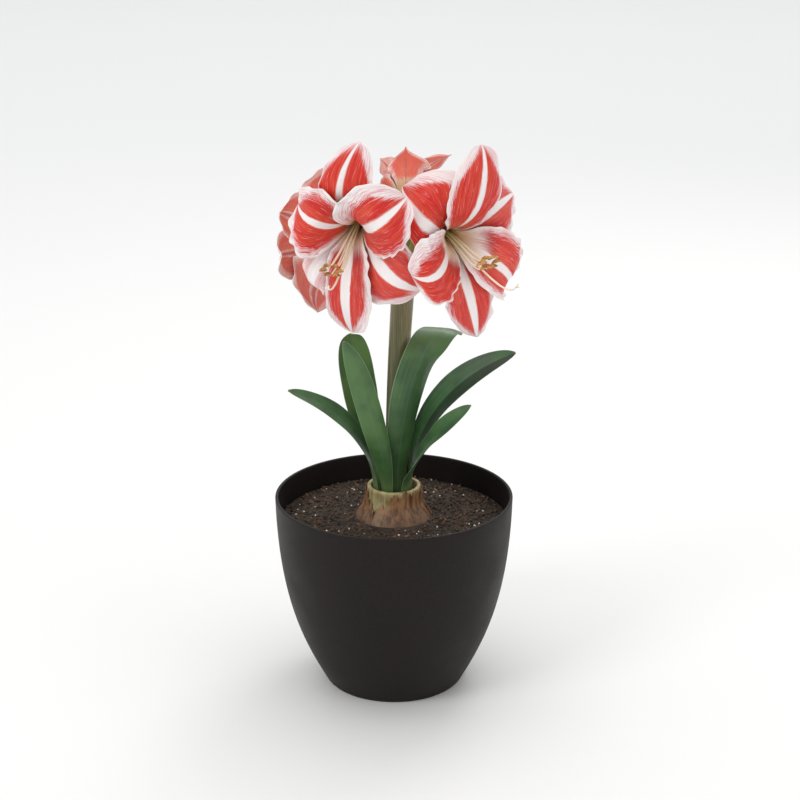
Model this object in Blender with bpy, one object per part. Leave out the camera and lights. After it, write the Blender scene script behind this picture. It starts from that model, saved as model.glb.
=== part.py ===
# Amaryllis growing from its bulb in a plain round planter.
# Sizes are in metres, +Z is up, the viewer stands at -Y, and the origin is the middle of the planter's underside.

import math

import bmesh
import bpy
from mathutils import Vector, noise

MM = 0.001
CLEARANCE = 0.3 * MM  # gap kept between pieces that touch

# Planter
POT_RIM_RADIUS = 106.5 * MM
POT_BASE_RADIUS = 62.5 * MM
POT_HEIGHT = 176.5 * MM
POT_WALL = 2.8 * MM
POT_FLOOR = 4 * MM
POT_FOOT_EDGE = 1.5 * MM
POT_RIM_EDGE = 0.8 * MM
POT_SIDES = 40
POT_RINGS = 7
POT_BELLY = ((0.80, 0.23), (0.985, 0.47))  # shares of rim radius and height that pull the wall outwards

# Soil
SOIL_LEVEL = POT_HEIGHT - 24 * MM
SOIL_MOUND = 5 * MM
SOIL_CLOD = 3.4 * MM
SOIL_RINGS = 5
SOIL_WALL_GAP = 0.5 * MM

# Bulb: its outline is given as shares of its belly's radius and of its height
BULB_FOOT_Z = 92 * MM
BULB_HEIGHT = 94 * MM
BULB_BELLY_RADIUS = 44 * MM
BULB_OUTLINE = (
    (0.30, 0.00), (0.62, 0.05), (0.88, 0.17), (1.00, 0.36), (0.95, 0.53),
    (0.79, 0.67), (0.62, 0.79), (0.555, 0.88), (0.545, 0.985),
)
BULB_SIDES = 30
BULB_RIBS = 15
BULB_RIB_HEIGHT = 0.7 * MM
NECK_RADIUS = 20.4 * MM  # the open neck that the leaves and the stalk stand in
NECK_DEPTH = 10 * MM
NECK_FLOOR_Z = BULB_FOOT_Z + BULB_HEIGHT - NECK_DEPTH

# Flower stalk, without leaves
STALK_FOOT = Vector((1, 6.5, 0)) * MM
STALK_HEAD = Vector((9.2, 0, 389)) * MM
STALK_RADII = (9.5 * MM, 11.6 * MM)  # at the foot and at the head
STALK_FLATNESS = 0.86
STALK_SIDES = 14
STALK_STEPS = 10

# Leaves. A row gives the base in plan, which way the blade leans there in degrees (0 is +X, -90 the viewer),
# the two inner control points and the tip of its midrib, where its upper face looks at mid length and at the
# tip, half its width at the base and at the widest, and how deep it is channelled.
LEAVES = (
    dict(name="leaf_left_low", base=(-17.0, -3.0), lean=190, bends=((-17, -8, 236), (-53, -26, 269)),
         tip=(-91, -34, 285), faces=((0.30, -0.50, 0.8), (-0.2, -0.55, 0.8)), half=(6.5, 9.5), channel=0.30),
    dict(name="leaf_left_front", base=(-6.6, -10.0), lean=236, bends=((-6, -30, 224), (-29, -40, 302)),
         tip=(-43, -36, 330), faces=((-0.35, 0.9, 0.25), (0.1, 0.8, 0.55)), half=(5.8, 10.8), channel=0.22),
    dict(name="leaf_left_back", base=(-11.2, 7.8), lean=145, bends=((-27, 20, 233), (-40, 24, 318)),
         tip=(-38, 20, 320), faces=((0.35, -0.93, 0.1), (0.3, -0.9, 0.3)), half=(4.8, 16.0), channel=0.20),
    dict(name="leaf_right_tall", base=(4.4, -7.0), lean=-80, bends=((-1, -17, 240), (24, -34, 366)),
         tip=(60, 38, 314), faces=((-0.45, 0.85, 0.3), (0.2, 0.3, -1.0)), half=(6.6, 16.6), channel=0.20),
    dict(name="leaf_right_long", base=(15.0, 0.0), lean=0, bends=((13, -4, 248), (55, -22, 298)),
         tip=(105, -24, 316), faces=((-0.65, -0.6, 0.5), (-0.3, -0.75, 0.6)), half=(7.2, 13.6), channel=0.26),
    dict(name="leaf_right_short", base=(9.6, -12.4), lean=-52, bends=((13, -17, 216), (38, -44, 252)),
         tip=(66, -50, 277), faces=((-0.6, -0.25, 0.75), (-0.3, -0.7, 0.65)), half=(4.2, 10.4), channel=0.28),
)
LEAF_ROWS = 13
LEAF_COLUMNS = 5
LEAF_THICKNESS = (2.3 * MM, 1.4 * MM)  # along the midrib, at the base and at the tip
LEAF_MARGIN = 0.5  # share of the midrib's thickness that is left at the margins
LEAF_WIDEST = 0.5  # share of its length at which a leaf is widest
LEAF_TURN = 0.45  # share of its length by which a leaf faces its mid-length direction

# Floral tube, the narrow cup that a flower's six tepals rise from
TUBE_FOOT_RADIUS = 4.6 * MM
TUBE_WALL = 3 * MM
TUBE_FLOOR = 3 * MM
TUBE_SIDES = 12
TUBE_SHARES = (0.012, 0.125)  # the stretch of the tepals' lines that is sunk in the tube's wall
FUNNEL_FOOT = Vector((TUBE_FOOT_RADIUS, 2 * MM))  # first two control points of every tepal's midrib,
FUNNEL_NECK = Vector((6.5 * MM, 34 * MM))  # as distance from the flower's axis and rise above the tube's foot

# Tepals
TEPAL_THICKNESS = 0.9 * MM
TEPAL_LAYER = 1.5 * MM  # inner tepals stand this far in front of the funnel, outer ones as far behind it
TEPAL_ROWS = 9
TEPAL_COLUMNS = 5
TEPAL_START = 0.03
TEPAL_FOOT_WIDTH = 3.4 * MM
TEPAL_SPREAD = 55  # degrees round the axis that half a tepal may take up, so that its layer never meets itself
LAP_SPREAD = 84  # degrees for a margin that laps over its neighbour
LAP_LIFT = 4 * MM  # how far that margin stands in front of its neighbour
TEPAL_WAVE = 1.6 * MM
TEPAL_TAPER = 12 * MM  # towards its tip a tepal cups and waves less once it is narrower than this each side
TEPAL_CURL = (2.2 * MM, -1.6 * MM)  # how far the margins of inner and outer tepals stand off the funnel

# Flowers. azimuth turns a flower about Z from facing the viewer, pitch lifts it and roll turns it about its own
# axis. widest is the share of a tepal's length at which it is widest, point how blunt its end is (more is sharper),
# and lapping the one tepal, if any, whose first margin laps over the tepal before it.
# Tepals go clockwise from the top as the flower is faced: a tip's distance from the axis and its rise above the
# tube's foot, the shoulder's distance and rise, half the width before and after the midrib, and the degrees that the
# tip and the middle swing clockwise. Every second tepal belongs to the inner three.
FLOWERS = (
    dict(name="left_front", foot=(-26, -22, 436), azimuth=-16, pitch=-14, roll=2, top_is_inner=False,
         widest=0.60, point=0.62, lapping=1, filament=(82, 9, -3), style=(98, 17, -1),
         pedicel_foot=(-4.7, -3.6), pedicel_pull=(26, 24),
         tepals=((91, 47, 43, 76, 31, 38, 10, -3), (66, 45, 50, 98, 43, 26, -10, -9),
                 (75, 44, 44, 76, 34, 36, 3, 3), (88, 42, 42, 72, 26, 26, 0, 0),
                 (60, 38, 46, 82, 24, 10, -30, 0), (48, 33, 34, 80, 22, 26, -3, 8))),
    dict(name="right_front", foot=(39, -24, 425), azimuth=28, pitch=-6, roll=2, top_is_inner=True,
         widest=0.64, point=0.62, lapping=None, filament=(80, 3, 1), style=(108, 16, 11),
         pedicel_foot=(4.7, -3.6), pedicel_pull=(22, 22),
         tepals=((86, 50, 42, 78, 28, 34, 0, -7), (63, 30, 38, 66, 45, 19, -6, -20),
                 (52, 40, 46, 86, 24, 25, 12, 0), (87, 44, 42, 76, 28, 29, -14, -3),
                 (52, 44, 48, 86, 21, 24, 6, 0), (63, 10, 61, 73, 48, 62, 14, 7))),
    dict(name="left_back", foot=(-26, 25, 402), azimuth=-135, pitch=-8, roll=-18, top_is_inner=True,
         widest=0.58, point=0.70, lapping=None, filament=(80, 10, 0), style=(98, 18, 2),
         pedicel_foot=(-4.7, 3.6), pedicel_pull=(14, 20),
         tepals=((66, 50, 40, 72, 27, 27, 0, 0), (64, 46, 44, 74, 27, 27, 16, 0),
                 (54, 46, 44, 76, 27, 27, -9, 0), (66, 44, 42, 74, 38, 27, -4, 0),
                 (72, 44, 42, 72, 26, 26, 0, 0), (70, 46, 42, 72, 28, 28, 0, 0))),
    dict(name="right_back", foot=(11, 20, 433), azimuth=184, pitch=34, roll=-2, top_is_inner=False,
         widest=0.58, point=1.3, lapping=None, filament=(44, 0, 0), style=(52, 2, 1),
         pedicel_foot=(4.7, 3.6), pedicel_pull=(26, 20),
         tepals=((28, 47, 14, 38, 18, 18, 0, 0), (25, 47, 17, 42, 20, 26, 0, 0),
                 (24, 42, 18, 40, 12, 18, 14, 8), (30, 48, 22, 42, 18, 18, 0, 0),
                 (28, 48, 20, 42, 18, 18, 0, 0), (46, 41, 24, 42, 20, 15, 0, 0))),
)

# Stamens and style
FILAMENT_RADIUS = 0.75 * MM
STYLE_RADIUS = 0.9 * MM
STAMEN_SIDES = 3
STAMEN_STEPS = 6
STAMEN_RING = 1.5 * MM
STAMEN_DISC = (2.5 * MM, 1.5 * MM)  # radius and thickness of the disc that they stand on
STAMEN_SAG = 0.18  # how far they bow below a straight line, as a share of their length
ANTHER_LENGTH = 9 * MM
ANTHER_RADIUS = 1.6 * MM
STIGMA_RADIUS = 2.2 * MM

# Pedicels
PEDICEL_RADIUS = 3.3 * MM
PEDICEL_SIDES = 9
PEDICEL_STEPS = 10
OVARY_RADIUS = 5.4 * MM
OVARY_MIDDLE = 0.84  # share of the pedicel's length at which the ovary is thickest
OVARY_SPAN = 0.16

# Bracts, the two papery halves of the sheath that the flower buds burst from
BRACTS = (
    dict(name="bract_right_front", side=-38, bends=((5, 12), (15, 10)), tip=(19, -24), half=6.5),
    dict(name="bract_back", side=80, bends=((4, 12), (15, 22)), tip=(32, 6), half=7.0),
)
BRACT_THICKNESS = 0.8 * MM
BRACT_ROWS = 8
BRACT_COLUMNS = 5
BRACT_BEND = 0.26
BRACT_LAP = 9 * MM  # how far a bract reaches down the stalk's head

POT_COLOUR = (0.019, 0.016, 0.015)
SOIL_COLOUR = (0.040, 0.026, 0.017)
BULB_COLOUR = (0.26, 0.13, 0.055)
STALK_COLOUR = (0.15, 0.20, 0.065)
LEAF_COLOUR = (0.035, 0.13, 0.045)
TEPAL_COLOUR = (0.72, 0.10, 0.07)
STAMEN_COLOUR = (0.86, 0.80, 0.62)
PEDICEL_COLOUR = (0.22, 0.30, 0.09)
BRACT_COLOUR = (0.50, 0.24, 0.10)


def clear_scene():
    for thing in list(bpy.data.objects):
        bpy.data.objects.remove(thing)


def finish(name, colour, roughness):
    """A material of one colour; nothing on this object is metal."""
    material = bpy.data.materials.new(name)
    material.use_nodes = True
    shader = material.node_tree.nodes["Principled BSDF"]
    shader.inputs["Base Color"].default_value = (*colour, 1)
    shader.inputs["Roughness"].default_value = roughness
    shader.inputs["Metallic"].default_value = 0
    material.diffuse_color = (*colour, 1)
    return material


def add_object(name, mesh, material):
    mesh.shade_smooth()
    mesh.set_sharp_from_angle(angle=math.radians(40))
    mesh.materials.clear()
    mesh.materials.append(material)
    made = bpy.data.objects.new(name, mesh)
    bpy.context.scene.collection.objects.link(made)
    return made


def from_bmesh(name, bm, material):
    """One object with its faces pointing outwards."""
    bmesh.ops.recalc_face_normals(bm, faces=bm.faces)
    mesh = bpy.data.meshes.new(name)
    bm.to_mesh(mesh)
    bm.free()
    return add_object(name, mesh, material)


def blend(start, end, share):
    return start + (end - start) * share


def ease(share):
    """Smooth step from 0 to 1."""
    share = max(0.0, min(1.0, share))
    return share * share * (3 - 2 * share)


def bezier(a, b, c, d, share):
    """Point of the cubic curve with these control points."""
    left = 1 - share
    return a * left**3 + b * (3 * left**2 * share) + c * (3 * left * share**2) + d * share**3


def square_to(direction, axis):
    """The part of a direction that stands square to an axis, at unit length."""
    return (direction - axis * direction.dot(axis)).normalized()


def turned(name, profile, sides, material):
    """A solid of revolution about Z; the profile runs from the axis back to the axis as (radius, height)."""
    bm = bmesh.new()
    points = [bm.verts.new((radius, 0, height)) for radius, height in profile]
    edges = [bm.edges.new(pair) for pair in zip(points, points[1:])]
    bmesh.ops.spin(
        bm, geom=points + edges, cent=(0, 0, 0), axis=(0, 0, 1), angle=math.tau, steps=sides, use_merge=True
    )
    bmesh.ops.remove_doubles(bm, verts=bm.verts, dist=0.01 * MM)
    return from_bmesh(name, bm, material)


def tube(name, centres, radii, sides, material, ends=None, flatness=1.0):
    """A closed rod along a line of points, round or flattened; ends gives the directions of its two ends."""
    last = len(centres) - 1
    tangents = [
        (centres[min(i + 1, last)] - centres[max(i - 1, 0)]).normalized() for i in range(last + 1)
    ]
    if ends:
        tangents[0], tangents[last] = ends
    across = Vector((1, 0, 0)) if abs(tangents[0].x) < 0.9 else Vector((0, 0, 1))
    bm = bmesh.new()
    loops = []
    for centre, tangent, radius in zip(centres, tangents, radii):
        across = square_to(across, tangent)
        beside = tangent.cross(across) * flatness
        turns = [math.tau * k / sides for k in range(sides)]
        ring = [centre + (across * math.cos(a) + beside * math.sin(a)) * radius for a in turns]
        loops.append([bm.verts.new(point) for point in ring])
    for low, high in zip(loops, loops[1:]):
        for k in range(sides):
            bm.faces.new((low[k - 1], low[k], high[k], high[k - 1]))
    bm.faces.new(loops[0])
    bm.faces.new(loops[-1])
    return from_bmesh(name, bm, material)


def blade(name, front, back, material):
    """A thin closed solid between two grids of points, split into triangles alike on both faces."""
    bm = bmesh.new()
    rows, columns = len(front), len(front[0])
    sides = [[[bm.verts.new(point) for point in row] for row in grid] for grid in (front, back)]
    for grid in sides:
        for r in range(rows - 1):
            for c in range(columns - 1):
                bm.faces.new((grid[r][c], grid[r][c + 1], grid[r + 1][c + 1]))
                bm.faces.new((grid[r][c], grid[r + 1][c + 1], grid[r + 1][c]))
    edge = [(r, 0) for r in range(rows)]
    edge += [(rows - 1, c) for c in range(1, columns)]
    edge += [(r, columns - 1) for r in range(rows - 2, -1, -1)]
    edge += [(0, c) for c in range(columns - 2, 0, -1)]
    for (r0, c0), (r1, c1) in zip(edge, edge[1:] + edge[:1]):
        near, far = sides[0][r0][c0], sides[0][r1][c1]
        under, beyond = sides[1][r0][c0], sides[1][r1][c1]
        bm.faces.new((near, far, beyond))
        bm.faces.new((near, beyond, under))
    return from_bmesh(name, bm, material)


def fuse(name, pieces, material):
    """Joins overlapping solids into one body with a single Boolean union."""
    base, others = pieces[0], pieces[1:]
    group = bpy.data.collections.new(name + "_pieces")
    for piece in others:
        group.objects.link(piece)
    union = base.modifiers.new("join", "BOOLEAN")
    union.operation = "UNION"
    union.operand_type = "COLLECTION"
    union.collection = group
    union.solver = "EXACT"
    graph = bpy.context.evaluated_depsgraph_get()
    mesh = bpy.data.meshes.new_from_object(base.evaluated_get(graph))
    for piece in pieces:
        bpy.data.objects.remove(piece)
    bpy.data.collections.remove(group)
    mesh.name = name
    return add_object(name, mesh, material)


def pot_line(share, inset):
    """Point (radius, height) of the planter's outer wall from foot to rim, moved inwards by inset."""
    (low_r, low_z), (high_r, high_z) = POT_BELLY
    curve = (
        Vector((POT_BASE_RADIUS, 0)),
        Vector((low_r * POT_RIM_RADIUS, low_z * POT_HEIGHT)),
        Vector((high_r * POT_RIM_RADIUS, high_z * POT_HEIGHT)),
        Vector((POT_RIM_RADIUS, POT_HEIGHT)),
    )
    step = 0.001
    slope = (bezier(*curve, share + step) - bezier(*curve, share - step)).normalized()
    return bezier(*curve, share) + Vector((-slope.y, slope.x)) * inset


def lining(inset, floor, top):
    """Outline of the planter's hollow from its rim down to its floor, with the wall moved inwards by inset."""
    points = [pot_line(1 - k / POT_RINGS, inset) for k in range(POT_RINGS)]
    wall = [p for p in points if floor + 6 * MM < p.y < top]
    corner = wall[-1].x - (wall[-1].y - floor) * 0.55
    return [tuple(p) for p in wall] + [(corner, floor + 3 * MM), (corner - 4 * MM, floor), (0, floor)]


def make_pot(material):
    """Thin moulded planter with a flat underside, a round foot edge and a softly rounded rim."""
    outer = [tuple(pot_line(k / POT_RINGS, 0)) for k in range(1, POT_RINGS)]
    profile = [(0, 0), (POT_BASE_RADIUS - POT_FOOT_EDGE, 0), (POT_BASE_RADIUS + 0.4 * MM, 0.7 * POT_FOOT_EDGE)]
    profile += outer
    profile += [
        (POT_RIM_RADIUS, POT_HEIGHT - POT_RIM_EDGE),
        (POT_RIM_RADIUS - POT_RIM_EDGE, POT_HEIGHT),
        (POT_RIM_RADIUS - POT_WALL + POT_RIM_EDGE, POT_HEIGHT),
        (POT_RIM_RADIUS - POT_WALL, POT_HEIGHT - POT_RIM_EDGE),
    ]
    profile += lining(POT_WALL, POT_FLOOR, POT_HEIGHT - 2 * MM)
    return turned("pot", profile, POT_SIDES, material)


def bulb_line(grow):
    """Outline of the bulb from its base plate up to the rim of its neck, made wider by grow."""
    return [
        (BULB_BELLY_RADIUS * share + grow, BULB_FOOT_Z + BULB_HEIGHT * rise) for share, rise in BULB_OUTLINE
    ]


def radius_at(line, height):
    """Radius of an outline at a height on it."""
    for (low_r, low_z), (high_r, high_z) in zip(line, line[1:]):
        if low_z <= height <= high_z:
            return blend(low_r, high_r, (height - low_z) / (high_z - low_z))
    return line[-1][0]


def make_bulb(material):
    """Bulb with papery ribs; the leaf bases and the stalk stand in its open neck."""
    top = BULB_FOOT_Z + BULB_HEIGHT
    rim_radius = BULB_BELLY_RADIUS * BULB_OUTLINE[-1][0]
    profile = [(0, BULB_FOOT_Z)] + bulb_line(0)
    profile += [
        (rim_radius - 1 * MM, top),
        (NECK_RADIUS + 0.8 * MM, top),
        (NECK_RADIUS, top - 1 * MM),
        (NECK_RADIUS, NECK_FLOOR_Z),
        (0, NECK_FLOOR_Z),
    ]
    bulb = turned("bulb", profile, BULB_SIDES, material)
    for vertex in bulb.data.vertices:
        x, y, z = vertex.co
        radius = math.hypot(x, y)
        if radius > rim_radius - 0.5 * MM:
            rise = (z - BULB_FOOT_Z) / BULB_HEIGHT
            rib = BULB_RIB_HEIGHT * math.cos(BULB_RIBS * math.atan2(y, x)) * ease(1.2 - rise)
            vertex.co.xy *= 1 + rib / radius
    return bulb


def make_soil(material):
    """Potting soil up to below the planter's rim, crumbly on top, with a hollow that the bulb sits in."""
    hollow = bulb_line(BULB_RIB_HEIGHT + 0.5 * MM)
    mouth_z = SOIL_LEVEL + SOIL_MOUND
    mouth_radius = radius_at(hollow, mouth_z)
    wall = lining(POT_WALL + SOIL_WALL_GAP, POT_FLOOR + CLEARANCE, SOIL_LEVEL - 4 * MM)
    edge_radius = radius_at(
        [tuple(pot_line(k / POT_RINGS, POT_WALL + SOIL_WALL_GAP)) for k in range(POT_RINGS)],
        SOIL_LEVEL,
    )
    profile = wall[::-1]
    for k in range(SOIL_RINGS + 1):
        share = k / SOIL_RINGS
        profile.append((blend(edge_radius, mouth_radius, share), blend(SOIL_LEVEL, mouth_z, ease(share))))
    profile += [p for p in hollow[::-1] if BULB_FOOT_Z < p[1] < mouth_z - 1 * MM]
    profile += [(hollow[0][0], BULB_FOOT_Z - CLEARANCE), (0, BULB_FOOT_Z - CLEARANCE)]
    soil = turned("soil", profile, POT_SIDES, material)
    for vertex in soil.data.vertices:
        radius = math.hypot(vertex.co.x, vertex.co.y)
        if vertex.co.z > SOIL_LEVEL - 1 * MM and mouth_radius + 1 * MM < radius < edge_radius - 1 * MM:
            vertex.co.z += SOIL_CLOD * noise.noise(vertex.co / (11 * MM))
    return soil


def make_stalk(material):
    """The stalk: oval, nearly upright, a little wider towards its head."""
    foot = STALK_FOOT + Vector((0, 0, NECK_FLOOR_Z + CLEARANCE))
    low = foot + Vector((-1.5, 0, 70)) * MM
    high = STALK_HEAD + Vector((-4, 1, -75)) * MM
    shares = [k / STALK_STEPS for k in range(STALK_STEPS + 1)]
    centres = [bezier(foot, low, high, STALK_HEAD, share) for share in shares]
    radii = [blend(STALK_RADII[0], STALK_RADII[1], ease(share)) for share in shares]
    upright = Vector((0, 0, 1))
    return tube("stalk", centres, radii, STALK_SIDES, material, (upright, upright), STALK_FLATNESS)


def leaf_half_width(leaf, share):
    """Narrow at the base, widest at mid length, with a blunt point at the tip."""
    base, widest = leaf["half"]
    if share < LEAF_WIDEST:
        return blend(base, widest, ease(share / LEAF_WIDEST)) * MM
    beyond = (share - LEAF_WIDEST) / (1 - LEAF_WIDEST)
    return max(widest * (1 - beyond**2.5) ** 0.65, 0.9) * MM


def leaf_frame(leaf, share):
    """Point of a leaf's midrib, the direction across its blade and the one out of its upper face."""
    x, y = leaf["base"]
    foot = Vector((x * MM, y * MM, NECK_FLOOR_Z + CLEARANCE))
    line = [foot] + [Vector(point) * MM for point in (*leaf["bends"], leaf["tip"])]
    step = 0.004
    along = bezier(*line, min(share + step, 1)) - bezier(*line, max(share - step, 0))
    if share == 0:
        along = Vector((0, 0, 1))
    along.normalize()
    lean = math.radians(leaf["lean"])
    inward = Vector((-math.cos(lean), -math.sin(lean), 0))
    middle, end = (Vector(face).normalized() for face in leaf["faces"])
    if share < LEAF_TURN:
        face = inward.lerp(middle, ease(share / LEAF_TURN))
    else:
        face = middle.lerp(end, ease((share - LEAF_TURN) / (1 - LEAF_TURN)))
    face = square_to(face, along)
    return bezier(*line, share), along.cross(face), face


def make_leaf(leaf, material):
    """One strap leaf: arched, channelled, thick along its midrib and thinner at its margins."""
    upper, lower = [], []
    for row in range(LEAF_ROWS):
        share = row / (LEAF_ROWS - 1)
        point, across, face = leaf_frame(leaf, share)
        half = leaf_half_width(leaf, share)
        thickness = blend(LEAF_THICKNESS[0], LEAF_THICKNESS[1], share)
        upper.append([])
        lower.append([])
        for column in range(LEAF_COLUMNS):
            v = 2 * column / (LEAF_COLUMNS - 1) - 1
            middle = point + across * (v * half) + face * (leaf["channel"] * half * v * v)
            depth = face * (thickness * blend(1, LEAF_MARGIN, v * v) / 2)
            upper[-1].append(middle + depth)
            lower[-1].append(middle - depth)
    return blade(leaf["name"], upper, lower, material)


def flower_frame(flower):
    """The foot of a flower's tube and its directions: along its axis, up, and to the right as it is faced."""
    turn, lift = math.radians(flower["azimuth"]), math.radians(flower["pitch"])
    axis = Vector((math.sin(turn) * math.cos(lift), -math.cos(turn) * math.cos(lift), math.sin(lift)))
    beside = Vector((math.cos(turn), math.sin(turn), 0))
    return Vector(flower["foot"]) * MM, axis, axis.cross(beside), beside


def funnel_point(flower, index, share, off):
    """Point of a flower's funnel, off degrees clockwise of a tepal's midrib, with its distance from the axis.
    Between two midribs the funnel passes smoothly from one line to the next, so neighbours never cross."""
    foot, axis, up, beside = flower_frame(flower)
    here = flower["tepals"][index]
    towards = flower["tepals"][(index + (1 if off >= 0 else -1)) % 6]
    weight = (1 - math.cos(math.pi * min(abs(off) / 60, 1))) / 2
    numbers = [blend(a, b, weight) for a, b in zip(here, towards)]
    (reach, rise, shoulder, crest), (swing, drift) = numbers[:4], numbers[6:]
    line = bezier(
        FUNNEL_FOOT, FUNNEL_NECK, Vector((shoulder, crest)) * MM, Vector((reach, rise)) * MM, share
    )
    turned_by = swing * share**2 + drift * math.sin(math.pi * share)
    clock = math.radians(flower["roll"] + 60 * index + off + turned_by)
    outward = up * math.cos(clock) + beside * math.sin(clock)
    return foot + axis * line.y + outward * line.x, line.x


def tepal_half_width(flower, index, share, radius, side):
    """Wraps round the tube at its foot, widest past the middle, pointed at the tip; side 0 comes before the
    midrib and side 1 after it."""
    laps = side == 0 and index == flower["lapping"]
    climb = (share / flower["widest"]) ** 1.15
    fall = ((1 - share) / (1 - flower["widest"])) ** flower["point"]
    half = TEPAL_FOOT_WIDTH * (1 - share) ** 3 + flower["tepals"][index][4 + side] * MM * min(climb * fall, 1)
    return max(min(half, math.radians(LAP_SPREAD if laps else TEPAL_SPREAD) * radius), 0.8 * MM)


def make_tepal(flower, index, material):
    """One tepal as a thin blade on the funnel, with its margins cupped and waved."""
    inner = (index % 2 == 0) == flower["top_is_inner"]
    layer = TEPAL_LAYER if inner else -TEPAL_LAYER
    curl = TEPAL_CURL[0] if inner else TEPAL_CURL[1]
    front, back = [], []
    for row in range(TEPAL_ROWS):
        share = blend(TEPAL_START, 1, row / (TEPAL_ROWS - 1))
        radius = funnel_point(flower, index, share, 0)[1]
        halves = [tepal_half_width(flower, index, share, radius, side) for side in (0, 1)]
        front.append([])
        back.append([])
        for column in range(TEPAL_COLUMNS):
            v = 2 * column / (TEPAL_COLUMNS - 1) - 1
            half = halves[v >= 0]
            off = math.degrees(v * half / radius)
            step = 0.01
            along = funnel_point(flower, index, min(share + step, 1), off)[0]
            along -= funnel_point(flower, index, max(share - step, 0), off)[0]
            around = funnel_point(flower, index, share, off + 1)[0]
            around -= funnel_point(flower, index, share, off - 1)[0]
            normal = around.cross(along).normalized()
            wave = TEPAL_WAVE * math.sin(17 * share + 2.1 * index + v) * ease((share - 0.5) / 0.3)
            margin = v * v * min(half / TEPAL_TAPER, 1)
            lift = layer * ease((share - 0.02) / 0.15) + margin * (curl * ease(share / 0.6) + wave)
            if index == flower["lapping"]:
                lift += LAP_LIFT * ease((-off - 45) / 35)
            middle = funnel_point(flower, index, share, off)[0] + normal * lift
            front[-1].append(middle + normal * TEPAL_THICKNESS / 2)
            back[-1].append(middle - normal * TEPAL_THICKNESS / 2)
    return blade(f"tepal_{index}", front, back, material)


def place_on_axis(thing, flower):
    """Moves a piece built along +Z from the origin onto a flower's axis."""
    foot, axis, _, _ = flower_frame(flower)
    turn = Vector((0, 0, 1)).rotation_difference(axis).to_matrix().to_4x4()
    turn.translation = foot
    thing.data.transform(turn)


def make_floral_tube(flower, material):
    """The small cup whose wall holds the feet of the six tepals."""
    shoulder = Vector(flower["tepals"][0][2:4]) * MM
    tip = Vector(flower["tepals"][0][0:2]) * MM
    shares = [blend(TUBE_SHARES[0], TUBE_SHARES[1], k / 3) for k in range(4)]
    wall = [bezier(FUNNEL_FOOT, FUNNEL_NECK, shoulder, tip, share) for share in shares]
    half = TUBE_WALL / 2
    profile = [(0, 0), (TUBE_FOOT_RADIUS + half - 0.6 * MM, 0)]
    profile += [(point.x + half, point.y) for point in wall]
    profile += [(point.x - half, point.y) for point in wall[:0:-1]]
    profile += [(TUBE_FOOT_RADIUS - half, TUBE_FLOOR), (0, TUBE_FLOOR)]
    cup = turned("floral_tube", profile, TUBE_SIDES, material)
    place_on_axis(cup, flower)
    return cup


def make_flower(flower, material):
    pieces = [make_floral_tube(flower, material)]
    pieces += [make_tepal(flower, index, material) for index in range(6)]
    return fuse("flower_" + flower["name"], pieces, material)


def stamen_line(flower, ends, clock):
    """Line of a filament or the style: out along the tube, bowing below and turning up again at its end."""
    foot, axis, up, beside = flower_frame(flower)
    length, droop, spread = (size * MM for size in ends)
    outward = up * math.cos(clock) + beside * math.sin(clock)
    start = foot + axis * (TUBE_FLOOR + CLEARANCE + STAMEN_DISC[1] / 2) + outward * STAMEN_RING
    end = foot + axis * length - up * droop + beside * spread
    low = start + axis * (0.42 * length) + outward * 1 * MM
    high = end - axis * (0.16 * length) - up * (STAMEN_SAG * length)
    return [bezier(start, low, high, end, k / STAMEN_STEPS) for k in range(STAMEN_STEPS + 1)]


def make_anther(line, flower, material):
    """A pollen sac lying across the end of its filament."""
    along = (line[-1] - line[-2]).normalized()
    across = (flower_frame(flower)[3] + along * 0.5).normalized()
    centres = [line[-1] + across * (ANTHER_LENGTH * share) for share in (-0.5, -0.2, 0.2, 0.5)]
    radii = [ANTHER_RADIUS * share for share in (0.35, 1.0, 1.0, 0.35)]
    return tube("anther", centres, radii, 5, material)


def make_stamens(flower, material):
    """Six filaments with anthers and the longer style, standing together on one small disc."""
    radius, depth = STAMEN_DISC
    low = TUBE_FLOOR + CLEARANCE
    disc = turned("disc", [(0, low), (radius, low), (radius, low + depth), (0, low + depth)], 10, material)
    place_on_axis(disc, flower)
    pieces = [disc]
    length, droop, spread = flower["filament"]
    for k in range(6):
        clock = math.tau * (k + 0.5) / 6
        ends = (length + 4 * math.cos(3 * clock), droop - 4.5 * math.cos(clock), spread + 7 * math.sin(clock))
        line = stamen_line(flower, ends, clock)
        pieces.append(tube("filament", line, [FILAMENT_RADIUS] * len(line), STAMEN_SIDES, material))
        pieces.append(make_anther(line, flower, material))
    line = stamen_line(flower, flower["style"], math.pi)
    radii = [STYLE_RADIUS] * STAMEN_STEPS + [STIGMA_RADIUS]
    pieces.append(tube("style", line, radii, STAMEN_SIDES, material))
    return fuse("stamens_" + flower["name"], pieces, material)


def make_pedicel(flower, material):
    """The short flower stem from the stalk's head to the floral tube, with the swollen ovary at its end."""
    tube_foot, axis, _, _ = flower_frame(flower)
    x, y = flower["pedicel_foot"]
    start_pull, end_pull = (pull * MM for pull in flower["pedicel_pull"])
    foot = STALK_HEAD + Vector((x * MM, y * MM, CLEARANCE))
    end = tube_foot - axis * CLEARANCE
    low = foot + Vector((0, 0, start_pull))
    high = end - axis * end_pull
    shares = [k / PEDICEL_STEPS for k in range(PEDICEL_STEPS + 1)]
    centres = [bezier(foot, low, high, end, share) for share in shares]
    swell = [ease(1 - abs(share - OVARY_MIDDLE) / OVARY_SPAN) for share in shares]
    radii = [blend(PEDICEL_RADIUS, OVARY_RADIUS, s) for s in swell]
    ends = (Vector((0, 0, 1)), axis)
    return tube("pedicel_" + flower["name"], centres, radii, PEDICEL_SIDES, material, ends)


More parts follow.
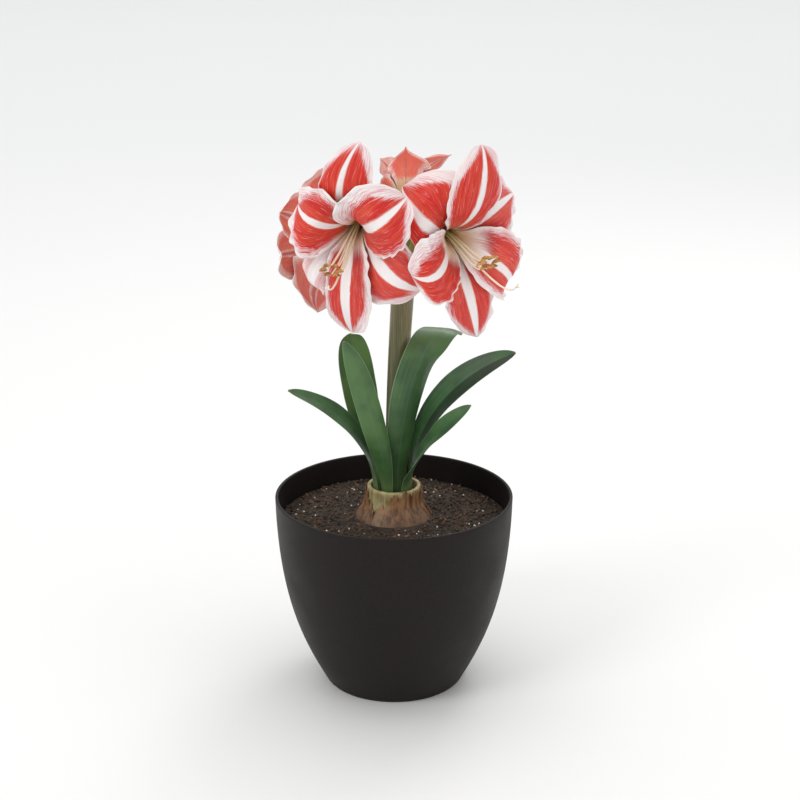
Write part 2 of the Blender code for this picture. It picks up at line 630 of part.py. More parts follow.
def make_bract(bract, material):
    """A withered, boat-shaped bract: it laps the stalk's head and hangs out to a point."""
    side = math.radians(bract["side"])
    outward = Vector((math.cos(side), math.sin(side), 0))
    across = Vector((-math.sin(side), math.cos(side), 0))
    stalk_radius = STALK_RADII[1] / math.hypot(math.cos(side), math.sin(side) / STALK_FLATNESS)
    lap = stalk_radius + CLEARANCE + BRACT_THICKNESS
    line = [Vector((lap, -BRACT_LAP))]
    line += [Vector((lap + out * MM, rise * MM)) for out, rise in (*bract["bends"], bract["tip"])]
    front, back = [], []
    for row in range(BRACT_ROWS):
        share = row / (BRACT_ROWS - 1)
        place = bezier(*line, share)
        slope = (bezier(*line, share + 0.01) - bezier(*line, share - 0.01)).normalized()
        normal = outward * slope.y - Vector((0, 0, slope.x))
        half = max(bract["half"] * (1 - share**1.7), 0.7) * MM
        front.append([])
        back.append([])
        for column in range(BRACT_COLUMNS):
            v = 2 * column / (BRACT_COLUMNS - 1) - 1
            bend = BRACT_BEND * half * v * v
            middle = STALK_HEAD + outward * place.x + Vector((0, 0, place.y)) + across * (v * half) - normal * bend
            front[-1].append(middle + normal * BRACT_THICKNESS / 2)
            back[-1].append(middle - normal * BRACT_THICKNESS / 2)
    return blade(bract["name"], front, back, material)


def main():
    clear_scene()
    make_pot(finish("planter", POT_COLOUR, 0.62))
    make_soil(finish("soil", SOIL_COLOUR, 0.95))
    make_bulb(finish("bulb_skin", BULB_COLOUR, 0.6))
    make_stalk(finish("stalk", STALK_COLOUR, 0.45))
    for leaf in LEAVES:
        make_leaf(leaf, finish(leaf["name"], LEAF_COLOUR, 0.4))
    for bract in BRACTS:
        make_bract(bract, finish(bract["name"], BRACT_COLOUR, 0.7))
    for flower in FLOWERS:
        make_pedicel(flower, finish("pedicel_" + flower["name"], PEDICEL_COLOUR, 0.45))
        make_flower(flower, finish("tepals_" + flower["name"], TEPAL_COLOUR, 0.5))
        make_stamens(flower, finish("stamens_" + flower["name"], STAMEN_COLOUR, 0.5))


main()
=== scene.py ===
import math

import bpy
import numpy as np
from mathutils import Matrix, Vector, noise


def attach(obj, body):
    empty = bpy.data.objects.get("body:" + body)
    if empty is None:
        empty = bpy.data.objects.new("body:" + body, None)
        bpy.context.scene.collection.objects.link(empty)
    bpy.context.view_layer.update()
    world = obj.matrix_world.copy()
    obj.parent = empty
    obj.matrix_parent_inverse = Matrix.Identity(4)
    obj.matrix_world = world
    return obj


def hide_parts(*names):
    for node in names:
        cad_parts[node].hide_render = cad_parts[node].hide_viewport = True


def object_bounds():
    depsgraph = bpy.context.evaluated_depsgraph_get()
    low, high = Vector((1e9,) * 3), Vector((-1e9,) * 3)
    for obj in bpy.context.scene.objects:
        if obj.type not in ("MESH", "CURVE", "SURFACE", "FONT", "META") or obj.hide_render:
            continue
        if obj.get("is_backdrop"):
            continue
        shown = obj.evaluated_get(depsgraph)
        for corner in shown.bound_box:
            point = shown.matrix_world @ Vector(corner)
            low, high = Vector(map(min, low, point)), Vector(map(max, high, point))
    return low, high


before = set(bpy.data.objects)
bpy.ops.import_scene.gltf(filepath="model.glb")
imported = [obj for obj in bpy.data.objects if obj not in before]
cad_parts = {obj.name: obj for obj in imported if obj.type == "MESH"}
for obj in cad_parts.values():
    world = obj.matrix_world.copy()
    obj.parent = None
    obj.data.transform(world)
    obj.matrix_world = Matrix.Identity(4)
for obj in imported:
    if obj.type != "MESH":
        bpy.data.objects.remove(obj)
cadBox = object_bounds()
mm = 0.001
upward = np.array([0.0, 0.0, 1.0])


# Plain sums that every piece uses; they take single numbers and numpy arrays alike

def blend(start, end, share):
    return start + (end - start) * share


def ease(share):  # smooth step from 0 to 1
    share = np.clip(share, 0.0, 1.0)
    return share * share * (3 - 2 * share)


def bezier(a, b, c, d, share):
    left = 1 - share
    return a * left**3 + b * (3 * left**2 * share) + c * (3 * left * share**2) + d * share**3


def unit(vectors):
    return vectors / np.maximum(np.linalg.norm(vectors, axis=-1, keepdims=True), 1e-9)


def squareTo(direction, axis):  # the part of a direction that stands square to an axis
    return unit(direction - axis * np.sum(direction * axis, axis=-1, keepdims=True))


# Mesh building

def addObject(name, mesh):
    made = bpy.data.objects.new(name, mesh)
    bpy.context.scene.collection.objects.link(made)
    return made


def meshOf(name, points, edges=(), faces=()):
    mesh = bpy.data.meshes.new(name)
    mesh.from_pydata(points, edges, faces)
    return mesh


def mark(mesh, name, values, kind="FLOAT", key="value"):  # stores one value a point
    mesh.attributes.new(name, kind, "POINT").data.foreach_set(key, np.array(values, np.float32).ravel())


def sheetPart(middle, offset, v, share, finishes=(0, 0), traits=None):  # a blade closed round its middle
    rows, columns = middle.shape[:2]
    index = np.arange(rows * columns).reshape(rows, columns)
    quads = np.stack([index[:-1, :-1], index[:-1, 1:], index[1:, 1:], index[1:, :-1]], -1).reshape(-1, 4)
    edge = np.concatenate([index[0, :-1], index[:-1, -1], index[-1, :0:-1], index[:0:-1, 0]])
    after = np.roll(edge, -1)
    under = rows * columns
    rim = np.stack([after, edge, edge + under, after + under], -1)
    faces = np.concatenate([quads, quads[:, ::-1] + under, rim])
    slots = np.repeat(finishes, [len(quads), len(quads) + len(rim)])
    points = np.concatenate([(middle + offset).reshape(-1, 3), (middle - offset).reshape(-1, 3)])
    uv = np.stack([(v + 1) / 2 + 0 * share, share + 0 * v], -1).reshape(-1, 2)
    return dict(points=points, faces=faces, slots=slots, uv=np.tile(uv, (2, 1)), traits=traits or {})


def lathePart(profile, sides, finish=0, change=None):  # a turned solid, its profile's ends on the axis
    radius = np.array([p[0] for p in profile[1:-1]])
    height = np.array([p[1] for p in profile[1:-1]])
    turn = np.arange(sides) * (math.tau / sides)
    r, t = np.meshgrid(radius, turn, indexing="ij")
    z = np.repeat(height[:, None], sides, axis=1)
    grid = np.stack([r * np.cos(t), r * np.sin(t), z], axis=-1)
    if change:
        grid = change(grid)
    rows = len(radius)
    index = np.arange(rows * sides).reshape(rows, sides)
    after = np.roll(index, -1, axis=1)
    quads = np.stack([index[:-1], after[:-1], after[1:], index[1:]], axis=-1).reshape(-1, 4)
    low, high = rows * sides, rows * sides + 1
    faces = [tuple(q) for q in quads]
    faces += [(low, after[0, k], index[0, k]) for k in range(sides)]
    faces += [(high, index[-1, k], after[-1, k]) for k in range(sides)]
    points = np.concatenate([grid.reshape(-1, 3), [[0, 0, profile[0][1]], [0, 0, profile[-1][1]]]])
    share = np.linspace(0, 1, rows)[:, None] + np.zeros((1, sides))
    around = np.zeros((rows, 1)) + (turn / math.tau)[None, :]
    uv = np.concatenate([np.stack([around, share], axis=-1).reshape(-1, 2), [[0.5, 0], [0.5, 1]]])
    return dict(points=points, faces=faces, slots=np.full(len(faces), finish), uv=uv, traits={})


def joinParts(name, parts, finishes):  # one object from closed shells, with their UVs and traits
    faces, slots, start = [], [], 0
    for part in parts:
        faces += [tuple(int(i) + start for i in face) for face in part["faces"]]
        slots.append(part["slots"])
        start += len(part["points"])
    mesh = meshOf(name, np.concatenate([part["points"] for part in parts]).tolist(), faces=faces)
    for finish in finishes:
        mesh.materials.append(finish)
    mesh.polygons.foreach_set("material_index", np.concatenate(slots).astype(np.int32))
    mesh.polygons.foreach_set("use_smooth", np.ones(len(faces), bool))
    corner = np.empty(len(mesh.loops), np.int32)
    mesh.loops.foreach_get("vertex_index", corner)
    uv = np.concatenate([part["uv"] for part in parts])[corner]
    mesh.uv_layers.new(name="skin").data.foreach_set("uv", uv.astype(np.float32).ravel())
    sizes = [len(part["points"]) for part in parts]
    for trait in sorted({key for part in parts for key in part["traits"]}):
        mark(mesh, trait, np.repeat([part["traits"].get(trait, 0.0) for part in parts], sizes))
    mesh.validate()
    mesh.update()
    return addObject(name, mesh)


def dress(piece, slotName, *nodes):  # every piece rides on the one body and stands for its nodes
    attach(piece, "root")
    if nodes:
        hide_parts(*nodes)
    return piece


# Node trees, for geometry and for finishes. One is built at a time, and put() adds to that one.

draft = None


class Field:  # a value in a node tree, which adds and multiplies as a number does
    def __init__(self, socket):
        self.socket = socket

    def __add__(self, other):
        return maths("ADD", self, other)

    def __sub__(self, other):
        return maths("SUBTRACT", self, other)

    def __rsub__(self, other):
        return maths("SUBTRACT", other, self)

    def __mul__(self, other):
        return maths("MULTIPLY", self, other)

    def __abs__(self):
        return maths("ABSOLUTE", self)


def put(kind, inputs=None, out=0, **settings):  # adds a node, fills its inputs, returns one output
    node = draft.nodes.new(kind)
    for key, value in settings.items():
        setattr(node, key, value)
    for key, value in (inputs or {}).items():
        if isinstance(value, Field):
            draft.links.new(value.socket, node.inputs[key])
        else:
            node.inputs[key].default_value = value
    return Field(node.outputs[out])


def maths(operation, *values):
    return put("ShaderNodeMath", dict(enumerate(values)), operation=operation)


def grade(value, low, high, start=0.0, end=1.0):  # eases from start to end between low and high
    sockets = {"Value": value, "From Min": low, "From Max": high, "To Min": start, "To Max": end}
    return put("ShaderNodeMapRange", sockets, interpolation_type="SMOOTHSTEP")


def join(x, y, z=0.0):
    return put("ShaderNodeCombineXYZ", {0: x, 1: y, 2: z})


def split(place):
    return [put("ShaderNodeSeparateXYZ", {0: place}, k) for k in range(3)]


def geo(kind, out=0, **inputs):
    return put("GeometryNode" + kind, {key.replace("_", " "): value for key, value in inputs.items()}, out)


def named(name, kind="FLOAT"):
    return put("GeometryNodeInputNamedAttribute", {"Name": name}, data_type=kind)


def startTree(name, **inputs):  # a geometry tree with named inputs
    global draft
    draft = bpy.data.node_groups.new(name, "GeometryNodeTree")
    for label, kind in {"Geometry": "Geometry", **inputs}.items():
        draft.interface.new_socket(label, in_out="INPUT", socket_type="NodeSocket" + kind)
    draft.interface.new_socket("Geometry", in_out="OUTPUT", socket_type="NodeSocketGeometry")
    return {socket.name: Field(socket) for socket in draft.nodes.new("NodeGroupInput").outputs}


def endTree(geometry, finish):
    smooth = geo("SetShadeSmooth", Geometry=geo("RealizeInstances", Geometry=geometry))
    painted = geo("SetMaterial", Geometry=smooth, Material=finish)
    draft.links.new(painted.socket, draft.nodes.new("NodeGroupOutput").inputs[0])
    return draft


def grow(name, source, tree, values):  # runs a tree on a mesh and keeps what it makes as a plain object
    holder = addObject(name + "Source", source)
    modifier = holder.modifiers.new("grow", "NODES")
    modifier.node_group = tree
    for item in tree.interface.items_tree:
        if item.in_out == "INPUT" and item.name in values:
            modifier[item.identifier] = values[item.name]
    graph = bpy.context.evaluated_depsgraph_get()
    mesh = bpy.data.meshes.new_from_object(holder.evaluated_get(graph))
    bpy.data.objects.remove(holder)
    mesh.name = name
    return addObject(name, mesh)


def lineMesh(name, lines):  # polylines with a radius at each point, as the source of stems
    points, edges, radii = [], [], []
    for line, widths in lines:
        start = len(points)
        points += [tuple(p) for p in line]
        radii += list(widths)
        edges += [(start + k, start + k + 1) for k in range(len(line) - 1)]
    mesh = meshOf(name, points, edges)
    mark(mesh, "width", radii)
    return mesh


def stemLine(ends, steps, radiusAt):  # a line, and its radius at each point from a rule in mm
    shares = [k / steps for k in range(steps + 1)]
    return [bezier(*ends, share) for share in shares], [radiusAt(share) * mm for share in shares]


def stemTree():  # round or oval stems along lines, closed at both ends
    given = startTree("stemsAlongLines", Sides="Int", Flatness="Float", Finish="Material")
    line = geo("MeshToCurve", Mesh=given["Geometry"])
    ring = geo("CurvePrimitiveCircle", Resolution=given["Sides"], Radius=1.0)
    oval = geo("Transform", Geometry=ring, Scale=join(1.0, given["Flatness"], 1.0))
    along = put("GeometryNodeSplineParameter", out="Factor")
    marked = put("GeometryNodeStoreNamedAttribute", {"Geometry": line, "Name": "along", "Value": along},
                 data_type="FLOAT", domain="POINT")
    skin = geo("CurveToMesh", Curve=marked, Profile_Curve=oval, Scale=named("width"), Fill_Caps=True)
    return endTree(skin, given["Finish"])


def startFinish(name, roughness, **values):
    global draft
    finish = bpy.data.materials.new(name)
    finish.use_nodes = True
    draft = finish.node_tree
    shader = draft.nodes["Principled BSDF"]
    shader.inputs["Roughness"].default_value = roughness
    for key, value in values.items():
        shader.inputs[key.replace("_", " ")].default_value = value
    return finish, shader


def endFinish(begun, colour, height, depth, strength=1.0):  # colours and roughens the finish that was begun
    finish, shader = begun
    draft.links.new(colour.socket, shader.inputs["Base Color"])
    raised = put("ShaderNodeBump", {"Height": height, "Distance": depth, "Strength": strength})
    draft.links.new(raised.socket, shader.inputs["Normal"])
    return finish


def tint(share, first, second):  # from the first colour to the second
    colours = [value if isinstance(value, Field) else (*value, 1) for value in (first, second)]
    return put("ShaderNodeMix", {0: share, 6: colours[0], 7: colours[1]}, 2, data_type="RGBA")


def grain(place, scale, detail=2.0, roughness=0.5):
    sockets = {"Vector": place, "Scale": scale, "Detail": detail, "Roughness": roughness}
    return put("ShaderNodeTexNoise", sockets)


def layered(first, *layers):  # a mixed colour, and over it shares of other colours
    colour = tint(*first)
    for share, above in layers:
        colour = tint(share, colour, above)
    return colour


def stretched(place, x, y, z):
    return put("ShaderNodeMapping", {"Vector": place, "Scale": (x, y, z)})


def trait(name):
    return put("ShaderNodeAttribute", out="Fac", attribute_name=name)


def objectPlace():
    return put("ShaderNodeTexCoord", out="Object")


def skinPlace():  # u and v of a piece's own map
    return split(put("ShaderNodeUVMap", uv_map="skin"))[:2]


stems = stemTree()
print("helpers ready, CAD box", [[round(c, 4) for c in corner] for corner in cadBox])


# The flowers

flowerShape = dict(
    count=6, step=60,  # petals, and degrees between them
    rows=64, columns=40,
    thickness=(0.95, 0.45),  # mm, along the midrib and at the margins
    start=0.03, footWidth=3.4, leastHalf=0.8, spread=55, lapSpread=84, layer=1.5, curl=(2.2, -1.6),
    wave=1.6, taper=12,
    lapLift=4.0,  # mm, how far a lapping margin stands off what it laps over
    ruffle=1.5,  # mm, small folds along the margins
    ragged=0.022,  # how much the outline wanders
    groove=0.8, grooveHalf=0.07,  # mm deep, the channel along the midrib
    ridge=0.28, ridgePlace=0.30, ridgeHalf=0.13,  # mm, the swelling on both sides of it
    veins=0.10, veinCount=46,  # mm, relief of the lines that run the petal's length
    funnelFoot=(4.6, 2.0), funnelNeck=(6.5, 34.0),
    tubeWall=3.0, tubeFloor=3.0, tubeShares=(0.012, 0.125), tubeSides=48,
)

# A petal's row: its tip's distance from the axis and rise, its shoulder's distance and rise, its width
# before and after the midrib as one goes clockwise, and the degrees that its tip and its middle swing
# clockwise. Then how it is painted: half the white midrib, where the red bands end towards the margins,
# how much further the later one goes, how pale it is, where the red begins and stops, the midrib's shift.
flowers = [
    dict(name="left_front", foot=(-26, -22, 436), azimuth=-16, pitch=-14, roll=2, topIsInner=False,
         throat=0.25, point=0.62, widest=0.60, lapping=1, filament=(82, 9, -3), style=(98, 17, -1),
         pedicelFoot=(-4.7, -3.6), pedicelPull=(26, 24),
         petals=[((91, 47, 43, 76, 31, 38, 10, -3), (0.11, 0.94, 0.02, 0.00, 0.24, 0.97, -0.10)),
                 ((66, 45, 50, 98, 43, 26, -10, -9), (0.15, 0.72, 0.10, 0.00, 0.14, 0.98, 0.06)),
                 ((75, 44, 44, 76, 34, 36, 3, 3), (0.19, 0.78, 0.00, 0.03, 0.34, 0.95, 0.00)),
                 ((88, 42, 42, 72, 26, 26, 0, 0), (0.20, 0.74, 0.00, 0.02, 0.34, 0.98, 0.06)),
                 ((60, 38, 46, 82, 24, 10, -30, 0), (0.34, 0.66, 0.00, 0.72, 0.46, 0.90, 0.00)),
                 ((48, 33, 34, 80, 22, 26, -3, 8), (0.16, 0.80, 0.00, 0.00, 0.14, 1.05, 0.00))]),
    dict(name="right_front", foot=(39, -24, 425), azimuth=28, pitch=-6, roll=2, topIsInner=True,
         throat=1.0, point=0.62, widest=0.64, lapping=None, filament=(80, 3, 1), style=(108, 16, 11),
         pedicelFoot=(4.7, -3.6), pedicelPull=(22, 22),
         petals=[((86, 50, 42, 78, 28, 34, 0, -7), (0.11, 0.84, -0.10, 0.00, 0.18, 0.99, 0.18)),
                 ((63, 30, 38, 66, 45, 19, -6, -20), (0.15, 0.74, 0.00, 0.05, 0.28, 0.96, 0.00)),
                 ((52, 40, 46, 86, 24, 25, 12, 0), (0.14, 0.74, 0.00, 0.04, 0.42, 0.97, -0.05)),
                 ((87, 44, 42, 76, 28, 29, -14, -3), (0.17, 0.76, 0.00, 0.02, 0.36, 0.96, 0.08)),
                 ((52, 44, 48, 86, 21, 24, 6, 0), (0.17, 0.80, -0.22, 0.00, 0.36, 0.99, 0.00)),
                 ((63, 10, 61, 73, 48, 62, 14, 7), (0.12, 0.90, 0.00, 0.00, 0.16, 1.10, -0.25))]),
    dict(name="left_back", foot=(-26, 25, 402), azimuth=-135, pitch=-8, roll=-18, topIsInner=True,
         throat=0.7, point=0.70, widest=0.58, lapping=None, filament=(80, 10, 0), style=(98, 18, 2),
         pedicelFoot=(-4.7, 3.6), pedicelPull=(14, 20),
         petals=[((66, 50, 40, 72, 27, 27, 0, 0), (0.16, 0.76, 0.00, 0.00, 0.25, 0.96, 0.00)),
                 ((64, 46, 44, 74, 27, 27, 16, 0), (0.18, 0.74, 0.00, 0.05, 0.28, 0.96, 0.05)),
                 ((54, 46, 44, 76, 27, 27, -9, 0), (0.16, 0.72, 0.00, 0.10, 0.30, 0.95, 0.00)),
                 ((66, 44, 42, 74, 38, 27, -4, 0), (0.20, 0.76, 0.00, 0.10, 0.32, 0.96, -0.05)),
                 ((72, 44, 42, 72, 26, 26, 0, 0), (0.17, 0.78, 0.00, 0.00, 0.28, 0.97, 0.00)),
                 ((70, 46, 42, 72, 28, 28, 0, 0), (0.18, 0.74, 0.00, 0.00, 0.26, 0.96, 0.06))]),
    dict(name="right_back", foot=(11, 20, 433), azimuth=184, pitch=34, roll=-2, topIsInner=False,
         throat=0.8, point=1.3, widest=0.58, lapping=None, filament=(44, 0, 0), style=(52, 2, 1),
         pedicelFoot=(4.7, 3.6), pedicelPull=(26, 20),
         petals=[((28, 47, 14, 38, 18, 18, 0, 0), (0.05, 0.72, 0.00, 0.00, 0.34, 0.99, 0.00)),
                 ((25, 47, 17, 42, 20, 26, 0, 0), (0.16, 0.50, 0.00, 0.85, 0.40, 0.94, 0.00)),
                 ((24, 42, 18, 40, 12, 18, 14, 8), (0.16, 0.74, 0.00, 0.05, 0.28, 0.96, 0.00)),
                 ((30, 48, 22, 42, 18, 18, 0, 0), (0.18, 0.76, 0.00, 0.05, 0.30, 0.96, 0.00)),
                 ((28, 48, 20, 42, 18, 18, 0, 0), (0.16, 0.74, 0.00, 0.10, 0.28, 0.95, -0.04)),
                 ((46, 41, 24, 42, 20, 15, 0, 0), (0.15, 0.72, 0.00, 0.15, 0.30, 0.94, 0.00))]),
]


def flowerFrame(flower):  # foot of the tube, axis, up, and to the right as the flower is faced
    turn, lift = math.radians(flower["azimuth"]), math.radians(flower["pitch"])
    axis = np.array([math.sin(turn) * math.cos(lift), -math.cos(turn) * math.cos(lift), math.sin(lift)])
    beside = np.array([math.cos(turn), math.sin(turn), 0.0])
    return np.array(flower["foot"]) * mm, axis, np.cross(axis, beside), beside


def petalHalf(flower, widest, share, radius, spread):  # mm
    look = flowerShape
    climb = (share / flower["widest"]) ** 1.15
    fall = (np.maximum(1 - share, 0) / (1 - flower["widest"])) ** flower["point"]
    half = look["footWidth"] * (1 - share) ** 3 + widest * np.minimum(climb * fall, 1)
    return np.maximum(np.minimum(half, math.radians(spread) * radius), look["leastHalf"])


def funnelAt(k, shoulder, tip, share):  # k = 0: distance from the axis, k = 1: rise, mm
    return bezier(flowerShape["funnelFoot"][k], flowerShape["funnelNeck"][k], shoulder, tip, share)


def petalGrid(flower, index, share, v, half, radius):  # points on the funnel, metres
    look = flowerShape
    foot, axis, up, beside = flowerFrame(flower)
    rows = [petal[0] for petal in flower["petals"]]
    off = np.degrees(v * half / radius)
    weight = (1 - np.cos(np.pi * np.minimum(np.abs(off) / look["step"], 1))) / 2
    here, after, before = (rows[(index + k) % look["count"]] for k in (0, 1, -1))
    numbers = []
    for k in (0, 1, 2, 3, 6, 7):
        towards = np.where(off >= 0, after[k], before[k])
        numbers.append(here[k] + (towards - here[k]) * weight)
    reach, rise, shoulder, crest, swing, drift = numbers
    x, y = funnelAt(0, shoulder, reach, share), funnelAt(1, crest, rise, share)
    turned = flower["roll"] + look["step"] * index + off
    clock = np.radians(turned + swing * share**2 + drift * np.sin(np.pi * share))
    outward = up * np.cos(clock)[..., None] + beside * np.sin(clock)[..., None]
    return foot + (axis * y[..., None] + outward * x[..., None]) * mm, off


def petalPart(flower, index):
    look = flowerShape
    numbers, paint = flower["petals"][index]
    seed = 13.7 * index + 3.1 * flower["azimuth"]
    share = np.linspace(look["start"], 1, look["rows"])[:, None]
    v = np.linspace(-1, 1, look["columns"])[None, :]
    radius = funnelAt(0, numbers[2], numbers[0], share)
    laps = flower["lapping"] == index
    before = petalHalf(flower, numbers[4], share, radius, look["lapSpread" if laps else "spread"])
    after = petalHalf(flower, numbers[5], share, radius, look["spread"])
    wander = np.sin(23 * share + seed) + 0.7 * np.sin(41 * share + 2 * seed + 2 * v)
    wander = wander + 0.4 * np.sin(77 * share - seed)
    late = ease((share - 0.3) / 0.3)
    reached = v * (1 + look["ragged"] * wander * late * np.abs(v))
    share = share + 0 * v
    half = np.where(v < 0, before, after)
    base, off = petalGrid(flower, index, share, reached, half, radius)
    across = np.gradient(base, axis=1)
    along = np.gradient(base, axis=0)
    normal = unit(np.cross(across, along))

    inner = (index % 2 == 0) == flower["topIsInner"]
    layer = look["layer"] if inner else -look["layer"]
    curl = look["curl"][0] if inner else look["curl"][1]
    narrow = np.minimum(half / look["taper"], 1)
    wave = look["wave"] * np.sin(17 * share + 2.1 * index + v) * ease((share - 0.5) / 0.3)
    folds = np.sin(46 * share + 5 * np.sin(6 * share + seed) + seed + v)
    ruffle = look["ruffle"] * folds * late * np.abs(v) ** 5
    fold = -look["groove"] * np.exp(-((v / look["grooveHalf"]) ** 2)) * (1 - share) ** 0.5
    beside = (np.abs(v) - look["ridgePlace"]) / look["ridgeHalf"]
    fold += look["ridge"] * np.exp(-(beside**2)) * late
    vein = look["veins"] * np.cos(look["veinCount"] * v) * (1 - v * v) * ease(share / 0.3)
    lift = layer * ease((share - 0.02) / 0.15) + v * v * narrow * (curl * ease(share / 0.6) + wave)
    lift = lift + narrow * (ruffle + fold + vein) + laps * look["lapLift"] * ease((-off - 45) / 35)
    middle = base + normal * (lift * mm)[..., None]
    thick = blend(*look["thickness"], v * v) * mm / 2 * np.ones_like(share)
    names = ("stripe", "bandEnd", "lop", "pale", "begin", "stop", "shift")
    traits = dict(zip(names, paint), seed=seed % 10, throat=flower["throat"])
    return sheetPart(middle, normal * thick[..., None], v, share, (0, 1), traits)


def onAxis(part, flower):  # moves a part turned about +Z onto a flower's axis
    foot, axis, _, _ = flowerFrame(flower)
    turn = np.array(Vector((0, 0, 1)).rotation_difference(Vector(axis)).to_matrix())
    part["points"] = part["points"] @ turn.T + foot
    return part


def tubePart(flower):  # the short floral tube that holds the petals' feet
    look = flowerShape
    numbers = flower["petals"][0][0]
    shares = np.linspace(*look["tubeShares"], 8)
    x, y = funnelAt(0, numbers[2], numbers[0], shares), funnelAt(1, numbers[3], numbers[1], shares)
    half = look["tubeWall"] / 2
    profile = [(0, 0), (look["funnelFoot"][0] + half - 0.6, 0)]
    profile += [(a + half - 0.5 * ease(k / 7) ** 2, b) for k, (a, b) in enumerate(zip(x, y))]
    profile += [(a - half + 0.5 * ease(k / 7) ** 2, b) for k, (a, b) in enumerate(zip(x, y))][:0:-1]
    profile += [(look["funnelFoot"][0] - half, look["tubeFloor"]), (0, look["tubeFloor"])]
    part = lathePart([(r * mm, z * mm) for r, z in profile], look["tubeSides"], 2)
    return onAxis(part, flower)


petalColours = dict(
    red=(0.64, 0.024, 0.018), vermilion=(0.72, 0.060, 0.026), deep=(0.33, 0.010, 0.010),
    white=(0.90, 0.85, 0.85), blush=(0.74, 0.30, 0.34), rim=(0.93, 0.88, 0.86),
    green=(0.42, 0.29, 0.085), tan=(0.80, 0.47, 0.18), cream=(0.86, 0.62, 0.38), maroon=(0.13, 0.022, 0.014),
    salmon=(0.74, 0.062, 0.034), orange=(0.74, 0.125, 0.050), keel=(0.52, 0.035, 0.020),
    backWhite=(0.86, 0.68, 0.64), backPink=(0.74, 0.31, 0.28),
)


def petalField():  # what both faces share: the place on the petal, and streaks that follow its veins
    u, share = skinPlace()
    v = u * 2.0 - 1.0
    vein = v - grade(v, -0.15, 0.15, -0.40, 0.40) * share  # veins run out from the midrib
    streaks = []
    for across, along, detail in ((62.0, 7.0, 3.0), (9.0, 2.4, 2.0)):
        place = join(vein * across, share * along, trait("seed") * (across / 7))
        streaks.append(grain(place, 1.0, detail, 0.6))
    return v, share, *streaks


def bandMask(v, share, fine, soft):  # 1 inside the two red bands that flank the white midrib
    aside = abs(v - trait("shift"))
    jitter = fine - 0.5
    stripe = trait("stripe") * (grade(share, 0.10, 0.42) * (share * -0.70 + 1.30))
    band = grade(jitter * (0.10 * soft) + aside, stripe - 0.03, stripe + 0.03)
    lop = trait("lop") * grade(v, -0.15, 0.15, -1.0, 1.0)
    edge = (trait("bandEnd") + lop) * grade(share, 0.76, 1.0, 1.0, 0.35)
    band = band * grade(jitter * (1.15 * soft) + aside, edge - 0.04, edge + 0.06, 1.0, 0.0)
    low, begin, stop = jitter * 0.22 + share, trait("begin"), trait("stop")
    band = band * (grade(low, begin - 0.07, begin + 0.07) * grade(low, stop - 0.05, stop + 0.05, 1.0, 0.0))
    flecks = grade(fine, 0.58, 0.66) * grade(aside, 0.15, 0.65, 0.2, 0.8)
    return band * (1.0 - flecks) * (1.0 - trait("pale")), aside, stripe


def petalSkin(name, roughness, rim, colourOf):  # with vein lines and the glitter of the petal's cells
    begun = startFinish(name, roughness, Subsurface_Weight=0.12, Subsurface_Scale=0.003,
                        Specular_IOR_Level=0.30)
    v, share, fine, broad = petalField()
    colour = colourOf(v, share, fine, broad)
    colour = tint(grade(abs(v), rim, rim + 0.06), colour, petalColours["rim"])
    return endFinish(begun, colour, grain(objectPlace(), 900.0, 1.0) * 0.35 + fine, 0.00022, 0.7)


def faceColour(v, share, fine, broad):
    look = petalColours
    band, aside, stripe = bandMask(v, share, fine, 1.0)
    red = layered((grade(broad, 0.35, 0.65), look["red"], look["vermilion"]),
                  (grade(fine, 0.30, 0.62, 0.35, 0.0), look["deep"]),
                  (grade(share - trait("begin"), -0.02, 0.16, 0.75, 0.0), look["deep"]))
    zone = grade(aside, stripe, 0.45) * grade(aside, 0.80, 0.99, 0.9, 0.35)
    field = tint(grade(fine, 0.49, 0.58) * zone, look["white"], look["blush"])
    throat = trait("throat")
    clear = 1.0 - band * 0.8
    inside = grade(share, 0.20, throat * 0.10 + 0.36, 0.8, 0.0) * clear
    deepest = grade(share, 0.10, 0.26, 1.0, 0.0) * clear
    return layered((band, field, red),
                   (inside, tint(throat, look["tan"], look["cream"])),
                   (deepest, tint(throat, look["maroon"], look["tan"])))


def backColour(v, share, fine, broad):
    look = petalColours
    band, aside, _ = bandMask(v, share, fine, 0.6)
    field = tint(grade(fine, 0.40, 0.62), look["backWhite"], look["backPink"])
    warm = tint(grade(broad, 0.35, 0.65), look["salmon"], look["orange"])
    return layered((band * 0.85, field, warm),
                   (grade(aside, 0.02, 0.10, 0.75, 0.0), look["keel"]),
                   (grade(share, 0.14, 0.46, 0.95, 0.0), look["green"]))


def tubeFinish():
    begun = startFinish("floralTube", 0.45, Subsurface_Weight=0.1, Subsurface_Scale=0.004)
    place = objectPlace()
    colour = tint(grain(place, 160.0, 3.0), (0.34, 0.27, 0.09), (0.52, 0.40, 0.17))
    return endFinish(begun, colour, grain(place, 700.0), 0.0002, 0.5)


petalFinishes = [petalSkin("petalFace", 0.45, 0.93, faceColour),
                 petalSkin("petalBack", 0.5, 0.94, backColour), tubeFinish()]
for flower in flowers:
    parts = [petalPart(flower, index) for index in range(flowerShape["count"])] + [tubePart(flower)]
    piece = joinParts("bloom_" + flower["name"], parts, petalFinishes)
    dress(piece, "tepals", "flower_" + flower["name"])
print("flowers done")


# Stamens and styles

stamenShape = dict(
    steps=22, sides=10, ring=1.5, disc=(2.5, 1.5), discRise=0.3, footPull=0.42, tipPull=0.16, sag=0.18,
    count=6, fan=(4, 4.5, 7),  # mm, how far a stamen differs in length, droop and spread
    filament=(0.85, 0.5), style=(1.0, 0.75), stigma=6.0,  # mm
    stigmaWidths=(0.7, 0.75, 0.8, 0.85, 0.8, 0.4), antherLength=9.0, antherRadius=1.5,
)


